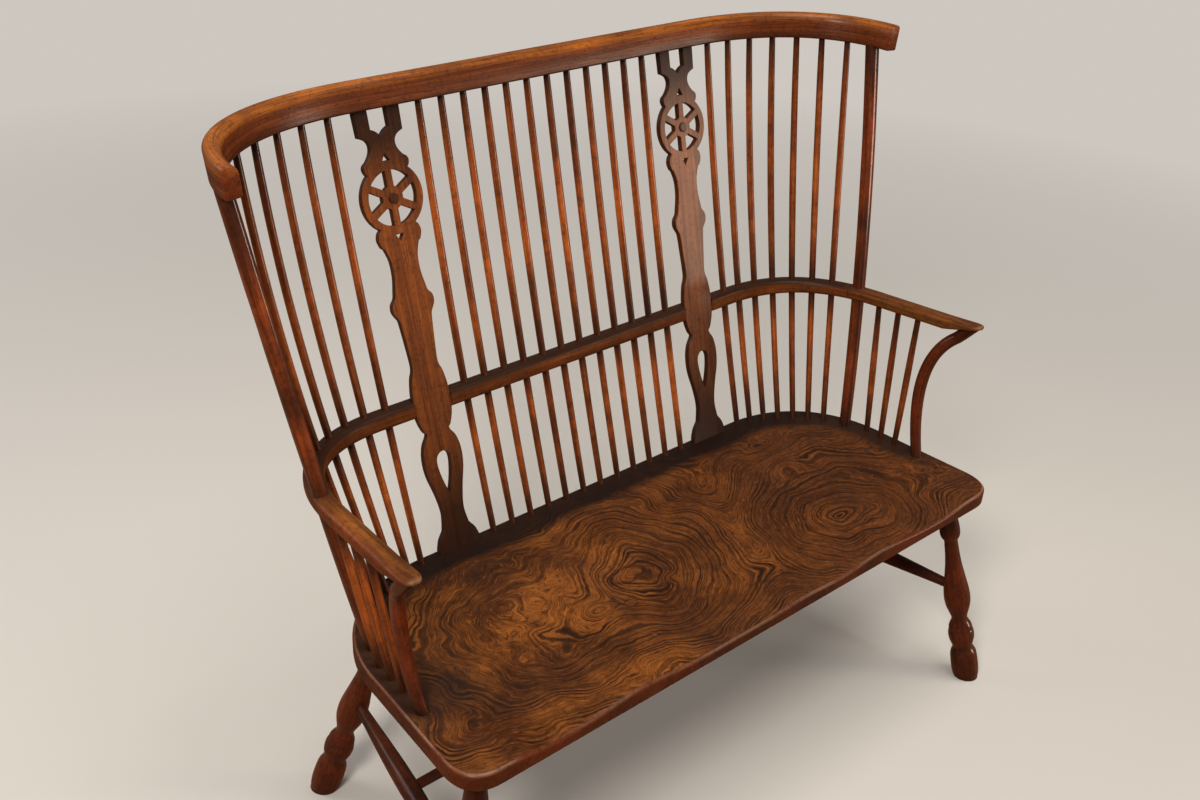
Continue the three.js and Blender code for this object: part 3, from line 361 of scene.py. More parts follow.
def burr_elm():
    """Fine growth lines round two hearts, golden between dark lines, with a near-black border at the sticks, a
    smooth red-brown edge, a pale line on the front corners that is partly scuffed wear and partly a painted
    highlight, a painted shadow under the left arm and painted shade towards the right end."""
    material, place, mark, use = new_wood("burr_elm", 0.06, 0.2, "inset")
    inset = mark["Fac"]
    across, back, _ = add("SeparateXYZ", {0: place}).outputs
    level = growth_level(across, back, place)
    uneven, strong = (add("TexNoise", {"W": times(level, scale), "Scale": 1, "Detail": detail},
                          noise_dimensions="1D").outputs[0] for scale, detail in ((60.0, 2), (40.0, 1)))
    phase = maths("MULTIPLY_ADD", uneven, 13.0, times(level, PHASE_PER_METRE))
    wave, fine_wave = (maths("MULTIPLY_ADD", maths("SINE", turn), 0.5, 0.5)
                       for turn in (phase, times(phase, 2.37)))
    fading = clouds(place, 13, 3, 0.6)
    along_lines = {"X": times(level, 1300.0), "Y": times(across, 60.0), "Z": times(back, 60.0)}
    threads = clouds(add("CombineXYZ", along_lines).outputs[0], 1, 2)
    colour = mixed(fade(clouds(place, 7, 3, 0.55), 0.4, 0.6), (84, 43, 17), (150, 85, 33))
    # The plank is darker and duller towards its right end: partly painted shade, partly the duller figure of
    # that end.
    colour = mixed(fade(across, -0.25, 0.375, 0.0, 0.7), colour, (86, 45, 23))
    colour = mixed(fade(threads, 0.56, 0.7, 0.0, 0.55), colour, (166, 100, 42))
    line = times(ramp(wave, [(0.0, 1.0), (0.36, 0.8), (0.74, 0.0)]), fade(strong, 0.3, 0.62, 0.3, 1.0))
    line = times(line, fade(fading, 0.36, 0.56, 0.35, 1.0))
    colour = mixed(line, colour, (30, 18, 10))
    colour = stained(colour, fade(fine_wave, 0.6, 0.1, 0.0, 0.32), fading, (44, 26, 14))
    colour = mixed(fade(threads, 0.5, 0.34, 0.0, 0.75), colour, (36, 21, 12))
    inside, outline = knot_eyes(across, back, place)
    colour = stained(colour, inside, 0.4, (134, 72, 28))
    colour = stained(colour, outline, 0.75, (36, 22, 14))
    colour = stained(colour, use["Grime"], 0.4, (60, 33, 19))
    ragged = maths("MULTIPLY_ADD", use["Grime"], 0.018, inset)
    border = times(fade(ragged, *STICK_BORDER), fade(back, *BORDER_AT_SIDES))
    darkest = mixed(fade(back, *BORDER_AT_REAR), (46, 28, 19), (25, 15, 11))
    colour = stained(colour, border, 0.94, darkest)
    # A painted shadow on the seat round the left crook's foot, under the left arm.
    colour = stained(colour, oval_hill(across, back, *PAINTED_CROOK_SHADOW), 0.8, (32, 24, 20))
    mottled = mixed(use["Grime"], (112, 48, 24), (54, 27, 16))
    colour = stained(colour, fade(inset, *RED_EDGE), 0.88, stained(mottled, threads, 0.6, (44, 24, 15)))
    # A pale line on the rounded top edge at the front corners: partly scuffed wear, partly a painted highlight.
    rub_and_highlight = ramp(times(inset, 100.0), [(0.05, 0.0), (0.3, 1.0), (0.5, 0.0)])
    at_corner = fade(minus(times(across, across), back), 0.48, 0.56, 0.4, 1.0)
    colour = stained(colour, times(times(rub_and_highlight, at_corner), use["Polish"]), 0.75, (190, 142, 108))
    return finish_wood(material, colour, use, line, 0.34)


seat_points = seat_edge()


def seat_ring(inset, height, dished):
    """A ring of the plank, drawn in towards the line that runs along its middle."""
    half_depth = SEAT_DEPTH / 2
    spine = SEAT_HALF_WIDTH - half_depth
    share = 1 - inset / half_depth
    ring = []
    for point in seat_points:
        centre = min(max(point.x, -spine), spine)
        along = centre + (point.x - centre) * share
        depth = half_depth + (point.y - half_depth) * share
        drop = seat_dish(along, depth) if dished else 0
        ring.append(Vector((along, SEAT_FRONT + depth, SEAT_TOP + height - drop)))
    return ring


seat_bm = bmesh.new()
inset_mark = seat_bm.verts.layers.float.new("inset")
ring = ring_of(seat_bm, seat_ring(UNDERSIDE_INSET, -SEAT_THICKNESS, False))
close_ring(seat_bm, ring)
seat_steps = [*CHAMFER_STEPS, (0.0, -EDGE_RADIUS, True)]
for step in range(1, 7):
    angle = math.pi / 2 * step / 6
    seat_steps.append((EDGE_RADIUS * (1 - math.cos(angle)), -EDGE_RADIUS * (1 - math.sin(angle)), True))
seat_steps += [(EDGE_RADIUS + (SPINE_INSET - EDGE_RADIUS) * step / 34, 0.0, True) for step in range(1, 35)]
for inset, height, dished in seat_steps:
    ring = extrude_ring(seat_bm, ring, seat_ring(inset, height, dished))
    for corner in ring:
        corner[inset_mark] = inset if dished else 0
close_ring(seat_bm, ring)
bmesh.ops.remove_doubles(seat_bm, verts=seat_bm.verts, dist=0.0004)
finish_piece(seat_bm, "seat_plank", burr_elm(), ["seat"], 50)

# The legs: four turnings of one pattern in dark polished beech, each with a collar, a slim neck, a long
# swelling, a grooved ball and a stout foot. Their tenons are driven into the plank, they splay both ways and
# are sawn level.
LEG_TOP = 0.396
LEG_PLACES = {
    "front": ((0.531, -0.23964), (0.601, -0.32064)),
    "back": ((0.446, 0.10136), (0.526, 0.19736)),
}
LEG_PROFILE = [
    (-0.03, 0.0150), (0, 0.0150), (0.05, 0.0150), (0.075, 0.0157), (0.1, 0.0165), (0.125, 0.0177),
    (0.145, 0.0185), (0.165, 0.0188), (0.18, 0.0185), (0.192, 0.0174), (0.203, 0.0152), (0.212, 0.0129),
    (0.222, 0.0123), (0.235, 0.0124), (0.25, 0.0127), (0.275, 0.0131), (0.3, 0.0136), (0.325, 0.0145),
    (0.35, 0.0154), (0.375, 0.0167), (0.4, 0.0181), (0.42, 0.0193), (0.44, 0.0205), (0.46, 0.0217),
    (0.48, 0.0229), (0.5, 0.0238), (0.525, 0.0245), (0.55, 0.0243), (0.57, 0.0234), (0.585, 0.0221),
    (0.6, 0.0204), (0.615, 0.0186), (0.63, 0.0167), (0.643, 0.0153), (0.655, 0.0146), (0.662, 0.0148),
    (0.67, 0.0160), (0.68, 0.0178), (0.69, 0.0197), (0.7, 0.0213), (0.706, 0.0219), (0.711, 0.0219),
    (0.715, 0.0211), (0.719, 0.0214), (0.724, 0.0227), (0.735, 0.0239), (0.75, 0.0244), (0.765, 0.0240),
    (0.78, 0.0229), (0.795, 0.0211), (0.807, 0.0194), (0.818, 0.0183), (0.826, 0.0185), (0.833, 0.0197),
    (0.841, 0.0214), (0.85, 0.0231), (0.86, 0.0243), (0.875, 0.0251), (0.9, 0.0255), (0.93, 0.0256),
    (0.955, 0.0253), (0.975, 0.0246), (0.99, 0.0236), (1, 0.0222), (1.06, 0.0212),
]


def turn_on_lathe(profile, length, steps=40):
    """A turning that stands on Z, from (share of the length, radius) pairs, its two ends drawn to the axis."""
    bm = bmesh.new()
    points = [(profile[0][0], 0.0), *profile, (profile[-1][0], 0.0)]
    corners = [bm.verts.new((radius, 0, share * length)) for share, radius in points]
    edges = [bm.edges.new(pair) for pair in zip(corners, corners[1:])]
    bmesh.ops.spin(bm, geom=corners + edges, axis=(0, 0, 1), cent=(0, 0, 0), angle=2 * math.pi, steps=steps,
                   use_merge=True)
    bmesh.ops.remove_doubles(bm, verts=bm.verts, dist=1e-6)
    return bm


def keep_grain(bm, turn):
    """Writes each point's place in the straight blank, its grain along Z, before it is bent or set."""
    grain = bm.verts.layers.float_vector.new("grain")
    for corner in bm.verts:
        corner[grain] = turn @ corner.co


def stand_between(bm, start, end):
    """Turns and moves a piece that stands on Z so that it runs from the start towards the end."""
    turn = (end - start).to_track_quat("Z", "Y").to_matrix().to_4x4()
    bmesh.ops.transform(bm, matrix=Matrix.Translation(start) @ turn, verts=bm.verts)


def straight_grain_group():
    """Straight-grained wood: long dark pore streaks and soft bands of spring and summer growth along Z."""
    group, given = new_group("straight_grain", {"Place": None, "Streak Scale": 1.0})
    factors = {0: given["Place"], "Scale": given["Streak Scale"]}
    scaled = add("VectorMath", factors, operation="SCALE").outputs[0]
    give_out(group, {
        "Streaks": fade(clouds(stretched(scaled, (900, 900, 22)), 1, 2), 0.5, 0.36),
        "Bands": fade(clouds(stretched(scaled, (150, 150, 3.5)), 1, 2, 0.5, 0.6), 0.34, 0.62),
        "Tone": fade(clouds(stretched(given["Place"], (3, 3, 5)), 1.5, 2), 0.3, 0.7)})
    return group


STRAIGHT_GRAIN = straight_grain_group()


def grain_of(mark, streak_scale=1.0):
    """The straight grain at each place of the blank that the piece was shaped from."""
    given = {"Place": mark["Vector"], "Streak Scale": streak_scale}
    return add("Group", given, node_tree=STRAIGHT_GRAIN).outputs


def height_mask(place, stops):
    """A grey ramp up the settee, from heights in metres to the mask's values."""
    tallest = 1.2
    height = maths("DIVIDE", add("SeparateXYZ", {0: place}).outputs["Z"], tallest)
    return ramp(height, [(level / tallest, value) for level, value in stops])


def turned_wood(name, light, middle, dark, stops, roughness=0.3, coat=0.42):
    """Dark polished turning wood, rubbed lighter where hands and cloth reach and blackened near the joints."""
    material, place, mark, use = new_wood(name, coat)
    grain = grain_of(mark)
    colour = mixed(grain["Bands"], middle, light)
    colour = stained(colour, grain["Tone"], 0.45, middle)
    colour = stained(colour, grain["Streaks"], 0.55, dark)
    colour = stained(colour, use["Grime"], 0.85, dark)
    colour = stained(colour, height_mask(place, stops), 0.88, (30, 15, 9))
    return finish_wood(material, colour, use, grain["Streaks"], roughness)


LEG_WOOD = turned_wood("leg_wood", (132, 56, 23), (88, 35, 15), (38, 16, 9),
                       [(0.0, 0.55), (0.02, 0.15), (0.3, 0.1), (0.37, 0.75), (0.4, 1.0)])

leg_lines = {}
for end, (top_place, foot_place) in LEG_PLACES.items():
    for label, side in (("left", -1), ("right", 1)):
        top = Vector((side * top_place[0], top_place[1], LEG_TOP))
        foot = Vector((side * foot_place[0], foot_place[1], 0))
        leg_lines[end, label] = (top, foot)
        leg_bm = turn_on_lathe(LEG_PROFILE, (foot - top).length)
        keep_grain(leg_bm, Matrix.Translation((len(leg_lines) * 0.7, 0, 0)))
        stand_between(leg_bm, top, foot)
        sawn = bmesh.ops.bisect_plane(leg_bm, geom=leg_bm.verts[:] + leg_bm.edges[:] + leg_bm.faces[:],
                                      plane_co=(0, 0, 0), plane_no=(0, 0, -1), clear_outer=True)
        sawn_edges = [part for part in sawn["geom_cut"] if isinstance(part, bmesh.types.BMEdge)]
        bmesh.ops.edgeloop_fill(leg_bm, edges=sawn_edges)
        finish_piece(leg_bm, f"turned_leg_{end}_{label}", LEG_WOOD, [f"leg_{end}_{label}"], 50)

# The stretchers: three turned rods that swell to their middle. The side ones tie each front leg to its back
# leg, and the cross one is let into the middle of both, an H that holds the legs from spreading.
STRETCHER_SHARE = 0.485
SIDE_STRETCHER = {"short_by": 0.009, "end": 0.0087, "middle": 0.0156}
CROSS_STRETCHER = {"short_by": 0.0056, "end": 0.0082, "middle": 0.0145}
STRETCHER_WOOD = turned_wood("stretcher_wood", (112, 50, 24), (66, 29, 15), (32, 15, 9),
                             [(0.0, 0.15), (0.3, 0.15)], 0.36, 0.16)


def part_way(first, second, share):
    return first + (second - first) * share


def stretcher(name, start, end, sizes):
    """A swelling rod between two axes, stopped short of each by as much as it is let in."""
    ahead = (end - start).normalized() * sizes["short_by"]
    first, last = start + ahead, end - ahead
    profile = [(share, part_way(sizes["end"], sizes["middle"], math.sin(math.pi * share) ** 1.5))
               for share in (step / 28 for step in range(29))]
    bm = turn_on_lathe(profile, (last - first).length, 32)
    keep_grain(bm, Matrix.Translation((first.x * 3, 0, 0)))
    stand_between(bm, first, last)
    finish_piece(bm, "swelled_" + name, STRETCHER_WOOD, [name])


middles = []
for label in ("left", "right"):
    ends = [top.lerp(foot, STRETCHER_SHARE)
            for top, foot in (leg_lines["front", label], leg_lines["back", label])]
    middles.append(ends[0].lerp(ends[1], 0.5))
    stretcher(f"side_stretcher_{label}", *ends, SIDE_STRETCHER)
stretcher("cross_stretcher", *middles, CROSS_STRETCHER)

# The sticks: ash rods, shaved round by hand and sprung into their holes, so that they bow a little. Long ones
# run from the seat through the arm bow to the crest rail, three short ones stand under each arm, and a
# thicker post closes each end of the back. All are near black at their joints and rubbed orange in between.
STICK_NODES = ([f"spindle_middle_{index}" for index in range(1, 13)]
               + [f"spindle_{label}_{index}" for label in ("left", "right") for index in range(1, 8)])
STICK_RADII = [(0.0, 0.0052), (0.15, 0.0056), (0.35, 0.0059), (0.6, 0.0062), (0.85, 0.0059), (1.0, 0.0052)]
SHORT_STICK_RADII = [(0.0, 0.0052), (0.5, 0.0062), (1.0, 0.0052)]
POST_RADII = [(0.0, 0.0096), (0.3, 0.0105), (0.7, 0.0109), (1.0, 0.011)]
POST_SQUARENESS = 0.1
SHAVE_UNEVENNESS = 0.035
STICK_WOOD = turned_wood(
    "stick_wood", (206, 106, 42), (146, 68, 26), (56, 26, 13),
    [(0.435, 1.0), (0.46, 0.92), (0.52, 0.12), (0.6, 0.1), (0.655, 0.9), (0.7, 0.95), (0.77, 0.35),
     (0.85, 0.05), (0.97, 0.05), (1.06, 0.5), (1.117, 1.0)], 0.28)
POST_WOOD = turned_wood(
    "post_wood", (176, 80, 34), (100, 44, 19), (42, 20, 11),
    [(0.435, 1.0), (0.47, 0.6), (0.54, 0.15), (0.66, 0.5), (0.7, 0.55), (0.78, 0.1), (1.0, 0.1), (1.117, 0.8)])


def rod_line(node):
    """The middles of the rings of a CAD rod, from its foot to its head."""
    corners = sorted({tuple(round(part, 6) for part in corner.co) for corner in node.data.vertices},
                     key=lambda corner: corner[2])
    sides = 12 if node.name.startswith("back_post") else 8
    return [sum((Vector(corner) for corner in corners[start:start + sides]), Vector()) / sides
            for start in range(0, len(corners), sides)]


def sprung(line, height):
    """The point at a height on the curve through the foot, the middle and the head of a rod's line."""
    knots = (line[0], line[len(line) // 2], line[-1])
    point = Vector()
    for knot in knots:
        shares = ((height - other.z) / (knot.z - other.z) for other in knots if other is not knot)
        point += knot * math.prod(shares)
    return point


def radius_at(radii, share):
    """The radius at a share of the length, smoothly between the given ones."""
    for (before, first), (after, second) in zip(radii, radii[1:]):
        if share <= after:
            return part_way(first, second, smooth_step(share, before, after))
    return radii[-1][1]


def shaved_rod(first_word, node_name, radii, material, order, square=0.0, steps=24):
    """A rod turned on Z, made a little uneven by the shave, then sprung to the line of its CAD rod."""
    line = rod_line(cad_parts[node_name])
    length = (line[-1] - line[0]).length
    profile = [(step / steps, radius_at(radii, step / steps)) for step in range(steps + 1)]
    bm = turn_on_lathe(profile, length, 20)
    for corner in bm.verts:
        angle = math.atan2(corner.co.y, corner.co.x)
        spot = Vector((math.cos(angle), math.sin(angle) + order * 7.3, corner.co.z * 9))
        corner.co.xy *= (1 + SHAVE_UNEVENNESS * noise(spot)) * (1 + square * math.sin(2 * angle) ** 2)
    keep_grain(bm, Matrix.Translation((order * 0.61, order * 0.37, 0)))
    for corner in bm.verts:
        height = part_way(line[0].z, line[-1].z, corner.co.z / length)
        centre = sprung(line, height)
        ahead = (sprung(line, height + 0.001) - centre).normalized()
        outward = Vector((0, 1, 0)).cross(ahead).normalized()
        corner.co = centre + outward * corner.co.x + ahead.cross(outward) * corner.co.y
    finish_piece(bm, f"{first_word}_{node_name}", material, [node_name])


for order, node_name in enumerate(STICK_NODES):
    shaved_rod("shaved", node_name, STICK_RADII, STICK_WOOD, order)
for order, label in enumerate(("left", "right")):
    shaved_rod("thick", f"back_post_{label}", POST_RADII, POST_WOOD, order + 40, POST_SQUARENESS)
    for index in range(1, 4):
        shaved_rod("shaved", f"arm_spindle_{label}_{index}", SHORT_STICK_RADII, STICK_WOOD,
                   order * 3 + index + 50, steps=12)

# The arm bow: one bar of ash steamed and bent round the back, through which all the long sticks pass, and
# which runs forward as two arms that flatten into paddles. The splats are let into its front. Its top is
# grimy at the back and worn golden on the arms.
BOW = {"half_straight": 0.383, "half_width": 0.5805, "rear": 0.506, "corner_end": 0.311, "handle": 0.62,
       "tip_half_width": 0.596, "tip": 0.098}
BOW_WIDTH, ARM_WIDTH, TIP_WIDTH = 0.028, 0.0315, 0.008
BOW_THICKNESS, ARM_THICKNESS, TIP_THICKNESS = 0.027, 0.0235, 0.0055
BOW_SQUARENESS, ARM_SQUARENESS = 5.0, 3.1
TIP_LENGTH, THIN_LENGTH = 0.024, 0.07
BOW_OVER_SEAT = 0.250
BOW_RISE = 0.066
BOW_NOTCH = (0.2592, 0.3266)
BOW_NOTCH_FACE = 0.0022
BOW_JOINTS = (-0.47, 0.54, 0.635)


def distances_along(points):
    """How far each point lies from the first one, along the line through them."""
    distances = [0.0]
    for before, after in zip(points, points[1:]):
        distances.append(distances[-1] + (after - before).length)
    return distances


def way_at(points, index):
    """The way ahead at one point of a line."""
    return (points[min(index + 1, len(points) - 1)] - points[max(index - 1, 0)]).normalized()


def bent_path(sizes, straight_steps, corner_steps, arm_steps):
    """Half a bent bar's plan, its straight back, swept corner and arm, as points with their distances."""
    rear, corner_end = sizes["rear"], sizes["corner_end"]
    corner_start = Vector((sizes["half_straight"], rear, 0))
    corner_finish = Vector((sizes["half_width"], corner_end, 0))
    reach = sizes["handle"] * (sizes["half_width"] - sizes["half_straight"])
    rise = sizes["handle"] * (rear - corner_end)
    tip = Vector((sizes.get("tip_half_width", 0), sizes.get("tip", corner_end), 0))
    slope = (tip.x - corner_finish.x) / (corner_end - tip.y) if arm_steps else 0
    points = [Vector((corner_start.x * step / straight_steps, rear, 0)) for step in range(straight_steps)]
    points += interpolate_bezier(corner_start, corner_start + Vector((reach, 0, 0)),
                                 corner_finish + Vector((-slope * rise, rise, 0)), corner_finish, corner_steps)
    points += [corner_finish.lerp(tip, step / arm_steps) for step in range(1, arm_steps + 1)]
    return list(zip(points, distances_along(points)))


def round_off(half, reach, shares):
    """Half a bar whose last reach is given closer points, at shares of it, for its rounded end."""
    end, length = half[-1]
    way = (end - half[-2][0]).normalized()
    kept = [(point, distance) for point, distance in half if distance <= length - reach]
    return kept + [(end - way * reach * (1 - share), length - reach * (1 - share)) for share in shares]


def roundness(distance, length, reach):
    """The share of its full size that a bar keeps over the reach of its rounded end."""
    past = max(0.0, abs(distance) - (length - reach)) / reach
    return math.sqrt(max(0.0, 1 - past ** 2))


def rounded_bar(half_width, half_height, squareness, count=28):
    """A section between an ellipse and a rectangle; a higher squareness gives tighter edges."""
    section = []
    for step in range(count):
        angle = 2 * math.pi * (step + 0.5) / count
        across, rise = math.cos(angle), math.sin(angle)
        section.append((math.copysign(abs(across) ** (2 / squareness), across) * half_width,
                        math.copysign(abs(rise) ** (2 / squareness), rise) * half_height))
    return section


def bent_bar(stations):
    """A bar through its stations, each a centre, an outward way, an upward way, a distance and a section."""
    bm = bmesh.new()
    grain = bm.verts.layers.float_vector.new("grain")
    ring = None
    for centre, outward, upward, distance, section in stations:
        points = [centre + outward * across + upward * rise for across, rise in section]
        if ring is None:
            ring = ring_of(bm, points)
            close_ring(bm, ring)
        else:
            ring = extrude_ring(bm, ring, points)
        for corner, (across, rise) in zip(ring, section):
            corner[grain] = (across, rise, distance)
    close_ring(bm, ring)
    return bm


def both_halves(half):
    """The whole bar's stations from its left end to its right one, as (point, way ahead, signed distance)."""
    points = [point for point, _ in half]
    right = [(point, way_at(points, index), distance) for index, (point, distance) in enumerate(half)]
    left = [(Vector((-point.x, point.y, 0)), Vector((way.x, -way.y, 0)), -distance)
            for point, way, distance in reversed(right[1:])]
    return left + right


def ash_bow_wood():
    """Near-black on top behind, warm brown in front, olive gold on the arms with red-orange outer sides."""
    material, _, mark, use = new_wood("bow_ash", 0.04, 0.2)
    across, up, along = add("SeparateXYZ", {0: mark["Vector"]}).outputs
    from_middle = maths("ABSOLUTE", along)
    grain = grain_of(mark, 0.8)
    colour = mixed(grain["Bands"], (98, 50, 22), (138, 74, 32))
    colour = stained(colour, grain["Streaks"], 0.6, (52, 27, 15))
    on_arm = fade(from_middle, 0.62, 0.72)
    rear_top = times(fade(up, 0.004, 0.0107), minus(1.0, on_arm))
    colour = stained(colour, rear_top, 0.92, (34, 21, 14))
    gold = mixed(grain["Bands"], (92, 52, 23), (146, 88, 38))
    colour = stained(colour, on_arm, 0.7, stained(gold, grain["Streaks"], 0.6, (70, 38, 18)))
    colour = stained(colour, times(fade(across, 0.0017, 0.0133), on_arm), 0.7, (126, 55, 21))
    colour = stained(colour, fade(from_middle, 0.898, 0.909), use["Polish"], (176, 124, 84))
    colour = stained(colour, use["Grime"], 0.65, (54, 30, 17))
    for joint in BOW_JOINTS:
        line = fade(maths("ABSOLUTE", minus(along, joint)), 0.0011, 0.0005, 0.0, 0.6)
        colour = mixed(line, colour, (26, 15, 10))
    return finish_wood(material, colour, use, grain["Streaks"], 0.32)


bow_half = bent_path(BOW, 24, 40, 30)
bow_length = bow_half[-1][1]
corner_distance = bow_half[24 + 40 - 1][1]
bow_half = round_off(bow_half, TIP_LENGTH, (0.25, 0.45, 0.62, 0.76, 0.86, 0.93, 0.975, 1.0))
for end in BOW_NOTCH:
    bow_half += [(Vector((place, BOW["rear"], 0)), place) for place in (end - 0.0001, end + 0.0001)]
bow_half.sort(key=lambda station: station[1])
bow_up = Vector((0, BOW_RISE, 1)).normalized()
bow_stations = []
for point, way, distance in both_halves(bow_half):
    to_arm = smooth_step(abs(distance), BOW["half_straight"], corner_distance)
    rounding = roundness(distance, bow_length, TIP_LENGTH)
    thinned = max(0.0, abs(distance) - bow_length + THIN_LENGTH) / THIN_LENGTH
    width = part_way(TIP_WIDTH, part_way(BOW_WIDTH, ARM_WIDTH, to_arm), rounding)
    thickness = part_way(part_way(BOW_THICKNESS, ARM_THICKNESS, to_arm), TIP_THICKNESS, thinned)
    height = SEAT_TOP + BOW_OVER_SEAT - thickness / 2 + BOW_RISE * (BOW["rear"] - point.y)
    ahead_way = Vector((way.x, way.y, -BOW_RISE * way.y)).normalized()
    outward = bow_up.cross(ahead_way).normalized()
    section = rounded_bar(width / 2, thickness / 2, part_way(BOW_SQUARENESS, ARM_SQUARENESS, to_arm))
    if BOW_NOTCH[0] < abs(distance) < BOW_NOTCH[1]:
        section = [(max(across, BOW_NOTCH_FACE), rise) for across, rise in section]
    centre = Vector((point.x, SEAT_FRONT + point.y, height))
    bow_stations.append((centre, outward, ahead_way.cross(outward), distance, section))
finish_piece(bent_bar(bow_stations), "bent_arm_bow", ash_bow_wood(), ["arm_bow"], 55)

# The arm crooks: a round support under the front of each arm, swept back from the seat and forward again, and
# tapered under the wedge of the arm's tip. Red-brown, dark at the foot and polished by passing legs.
CROOK_FOOT = (0.55393, 0.153)
CROOK_TENON = 0.017
CROOK_SWEEPS = [(0.0125, 0.036, 0.38), (0.0135, 0.041, 0.775)]
CROOK_HEAD_SPOTS = [(0.141, -0.0115), (0.1285, 0.0022), (0.104, 0.0195)]
CROOK_RADII = (0.0098, 0.0110)
CROOK_TOE = (0.0038, 0.0088)
CROOK_WOOD = turned_wood("crook_wood", (142, 60, 24), (98, 39, 16), (48, 20, 10),
                         [(0.435, 0.9), (0.46, 0.4), (0.52, 0.0), (0.64, 0.05), (0.69, 0.5)])


def arm_reach(depth):
    """How far out the middle of the arm lies at a depth."""
    share = (BOW["corner_end"] - depth) / (BOW["corner_end"] - BOW["tip"])
    return part_way(BOW["half_width"], BOW["tip_half_width"], share)


def arm_underside(depth):
    """The height of the arm's underside over the seat at a depth."""
    return BOW_OVER_SEAT + BOW_RISE * (BOW["rear"] - depth) - ARM_THICKNESS


def crook_path(side):
    """The crook's line from its tenon up its sweep to the toe under the arm's tip."""
    foot_reach, foot_depth = CROOK_FOOT
    arm_height = arm_underside(CROOK_HEAD_SPOTS[0][0])
    knots = [(foot_reach, foot_depth, 0)]
    knots += [(foot_reach + out, foot_depth + back, share * arm_height) for out, back, share in CROOK_SWEEPS]
    knots += [(arm_reach(depth), depth, arm_underside(depth) + rise) for depth, rise in CROOK_HEAD_SPOTS]
    *sweep, instep, toe = [Vector((side * along, SEAT_FRONT + depth, SEAT_TOP + height))
                           for along, depth, height in knots]
    path = interpolate_bezier(*sweep, 30)
    tenon = path[0] - (path[1] - path[0]).normalized() * CROOK_TENON
    return [tenon, *path, path[-1].lerp(instep, 0.5), instep, instep.lerp(toe, 0.5), toe]


for order, (label, side) in enumerate((("left", -1), ("right", 1))):
    path = crook_path(side)
    crook_stations = []
    for index, (point, travelled) in enumerate(zip(path, distances_along(path))):
        way = way_at(path, index)
        outward = Vector((1, 0, 0)).cross(way).normalized()
        radius = part_way(*CROOK_RADII, smooth_step((index - 1) / 29, 0, 0.5))
        flat = max(0.0, 1 - (len(path) - 1 - index) / 2)
        section = rounded_bar(*(part_way(radius, half, flat) for half in CROOK_TOE), 2.0, 20)
        crook_stations.append((point, outward, way.cross(outward), travelled + order, section))
    finish_piece(bent_bar(crook_stations), f"swept_arm_crook_{label}", CROOK_WOOD,
                 [f"arm_crook_{label}"], 60)

# The wheel splats: two flat boards sawn to a waisted outline and pierced with a six-spoked wheel, a tear and
# two small corners. They are tenoned into the seat and the crest rail and let into the front of the arm bow.
BACK_HEIGHT = 0.6815
SPLAT_THICKNESS = 0.0107
SPLAT_ALONG = 0.287
SPLAT_SWAY = 0.016
SPLAT_DEPTH = 0.4285
SPLAT_LEAN = (0.621 - SPLAT_THICKNESS / 2 - SPLAT_DEPTH) / BACK_HEIGHT
SPLAT_LENGTH = BACK_HEIGHT * math.hypot(1, SPLAT_LEAN)
SPLAT_TENON = 0.015
SAWN_EDGE = 0.0009
WHEEL_HEIGHT = SPLAT_LENGTH - 0.1307
WHEEL_RADIUS, WHEEL_RIM, HUB_RADIUS, HALF_SPOKE = 0.053, 0.0115, 0.018, 0.0055
FORK_HALF_GAP, FORK_DEPTH, FORK_NOTCH = 0.016, 0.0307, 0.0084
TEAR_FOOT, TEAR_WIDEST, TEAR_HEAD, TEAR_HALF_WIDTH = 0.098, 0.152, 0.169, 0.013
CORNER_HALF_WIDTH, CORNER_BASE, CORNER_TIP = 0.0068, 0.0018, 0.0135
BOSS_RADIUS, BOSS_HEIGHT, BOSS_ROUND = 0.008, 0.003, 0.0012
SPLAT_LOWER_SHARES = [
    (0, 0.75), (0.015, 0.73), (0.035, 0.63), (0.05, 0.48), (0.058, 0.44), (0.095, 0.375), (0.14, 0.47),
    (0.19, 0.64), (0.23, 0.67), (0.262, 0.58), (0.28, 0.43), (0.288, 0.39), (0.296, 0.48), (0.32, 0.59),
    (0.345, 0.63), (0.385, 0.62), (0.42, 0.54), (0.435, 0.46), (0.455, 0.435), (0.52, 0.5), (0.55, 0.54),
    (0.558, 0.58), (0.575, 0.7), (0.592, 0.68), (0.604, 0.56), (0.62, 0.51), (0.65, 0.44), (0.685, 0.45),
    (0.713, 0.57), (0.717, 0.64), (0.733, 0.71), (0.747, 0.67), (0.753, 0.6),
]
SPLAT_UPPER_SHARES = [
    (0.871, 0.62), (0.873, 0.69), (0.884, 0.74), (0.893, 0.7), (0.9, 0.58), (0.915, 0.44), (0.93, 0.41),
    (0.942, 0.5), (0.95, 0.72), (1, 0.74),
]
SPLAT_CUSPS = {0.288, 0.558, 0.713, 0.753, 0.871, 0.95}


def eased(points, cusps, steps=4):
    """A smooth line through the points that keeps its sharp cusps."""
    line = []
    for index in range(len(points) - 1):
        before = points[max(index - 1, 0)] if index not in cusps else points[index]
        after = points[min(index + 2, len(points) - 1)] if index + 1 not in cusps else points[index + 1]
        first, second = points[index], points[index + 1]
        line += interpolate_bezier(first, first + (second - before) / 6, second - (after - first) / 6, second,
                                   steps + 1)[:-1]
    return [*line, points[-1]]


def splat_side(shares):
    """One stretch of the splat's right edge, from (share of the length, share of the wheel's radius) pairs."""
    points = [Vector((width * WHEEL_RADIUS, share * SPLAT_LENGTH, 0)) for share, width in shares]
    return eased(points, {index for index, (share, _) in enumerate(shares) if share in SPLAT_CUSPS})


def mirrored(points):
    """The points reflected to the left, in the opposite order."""
    return [Vector((-point.x, point.y, 0)) for point in reversed(points)]


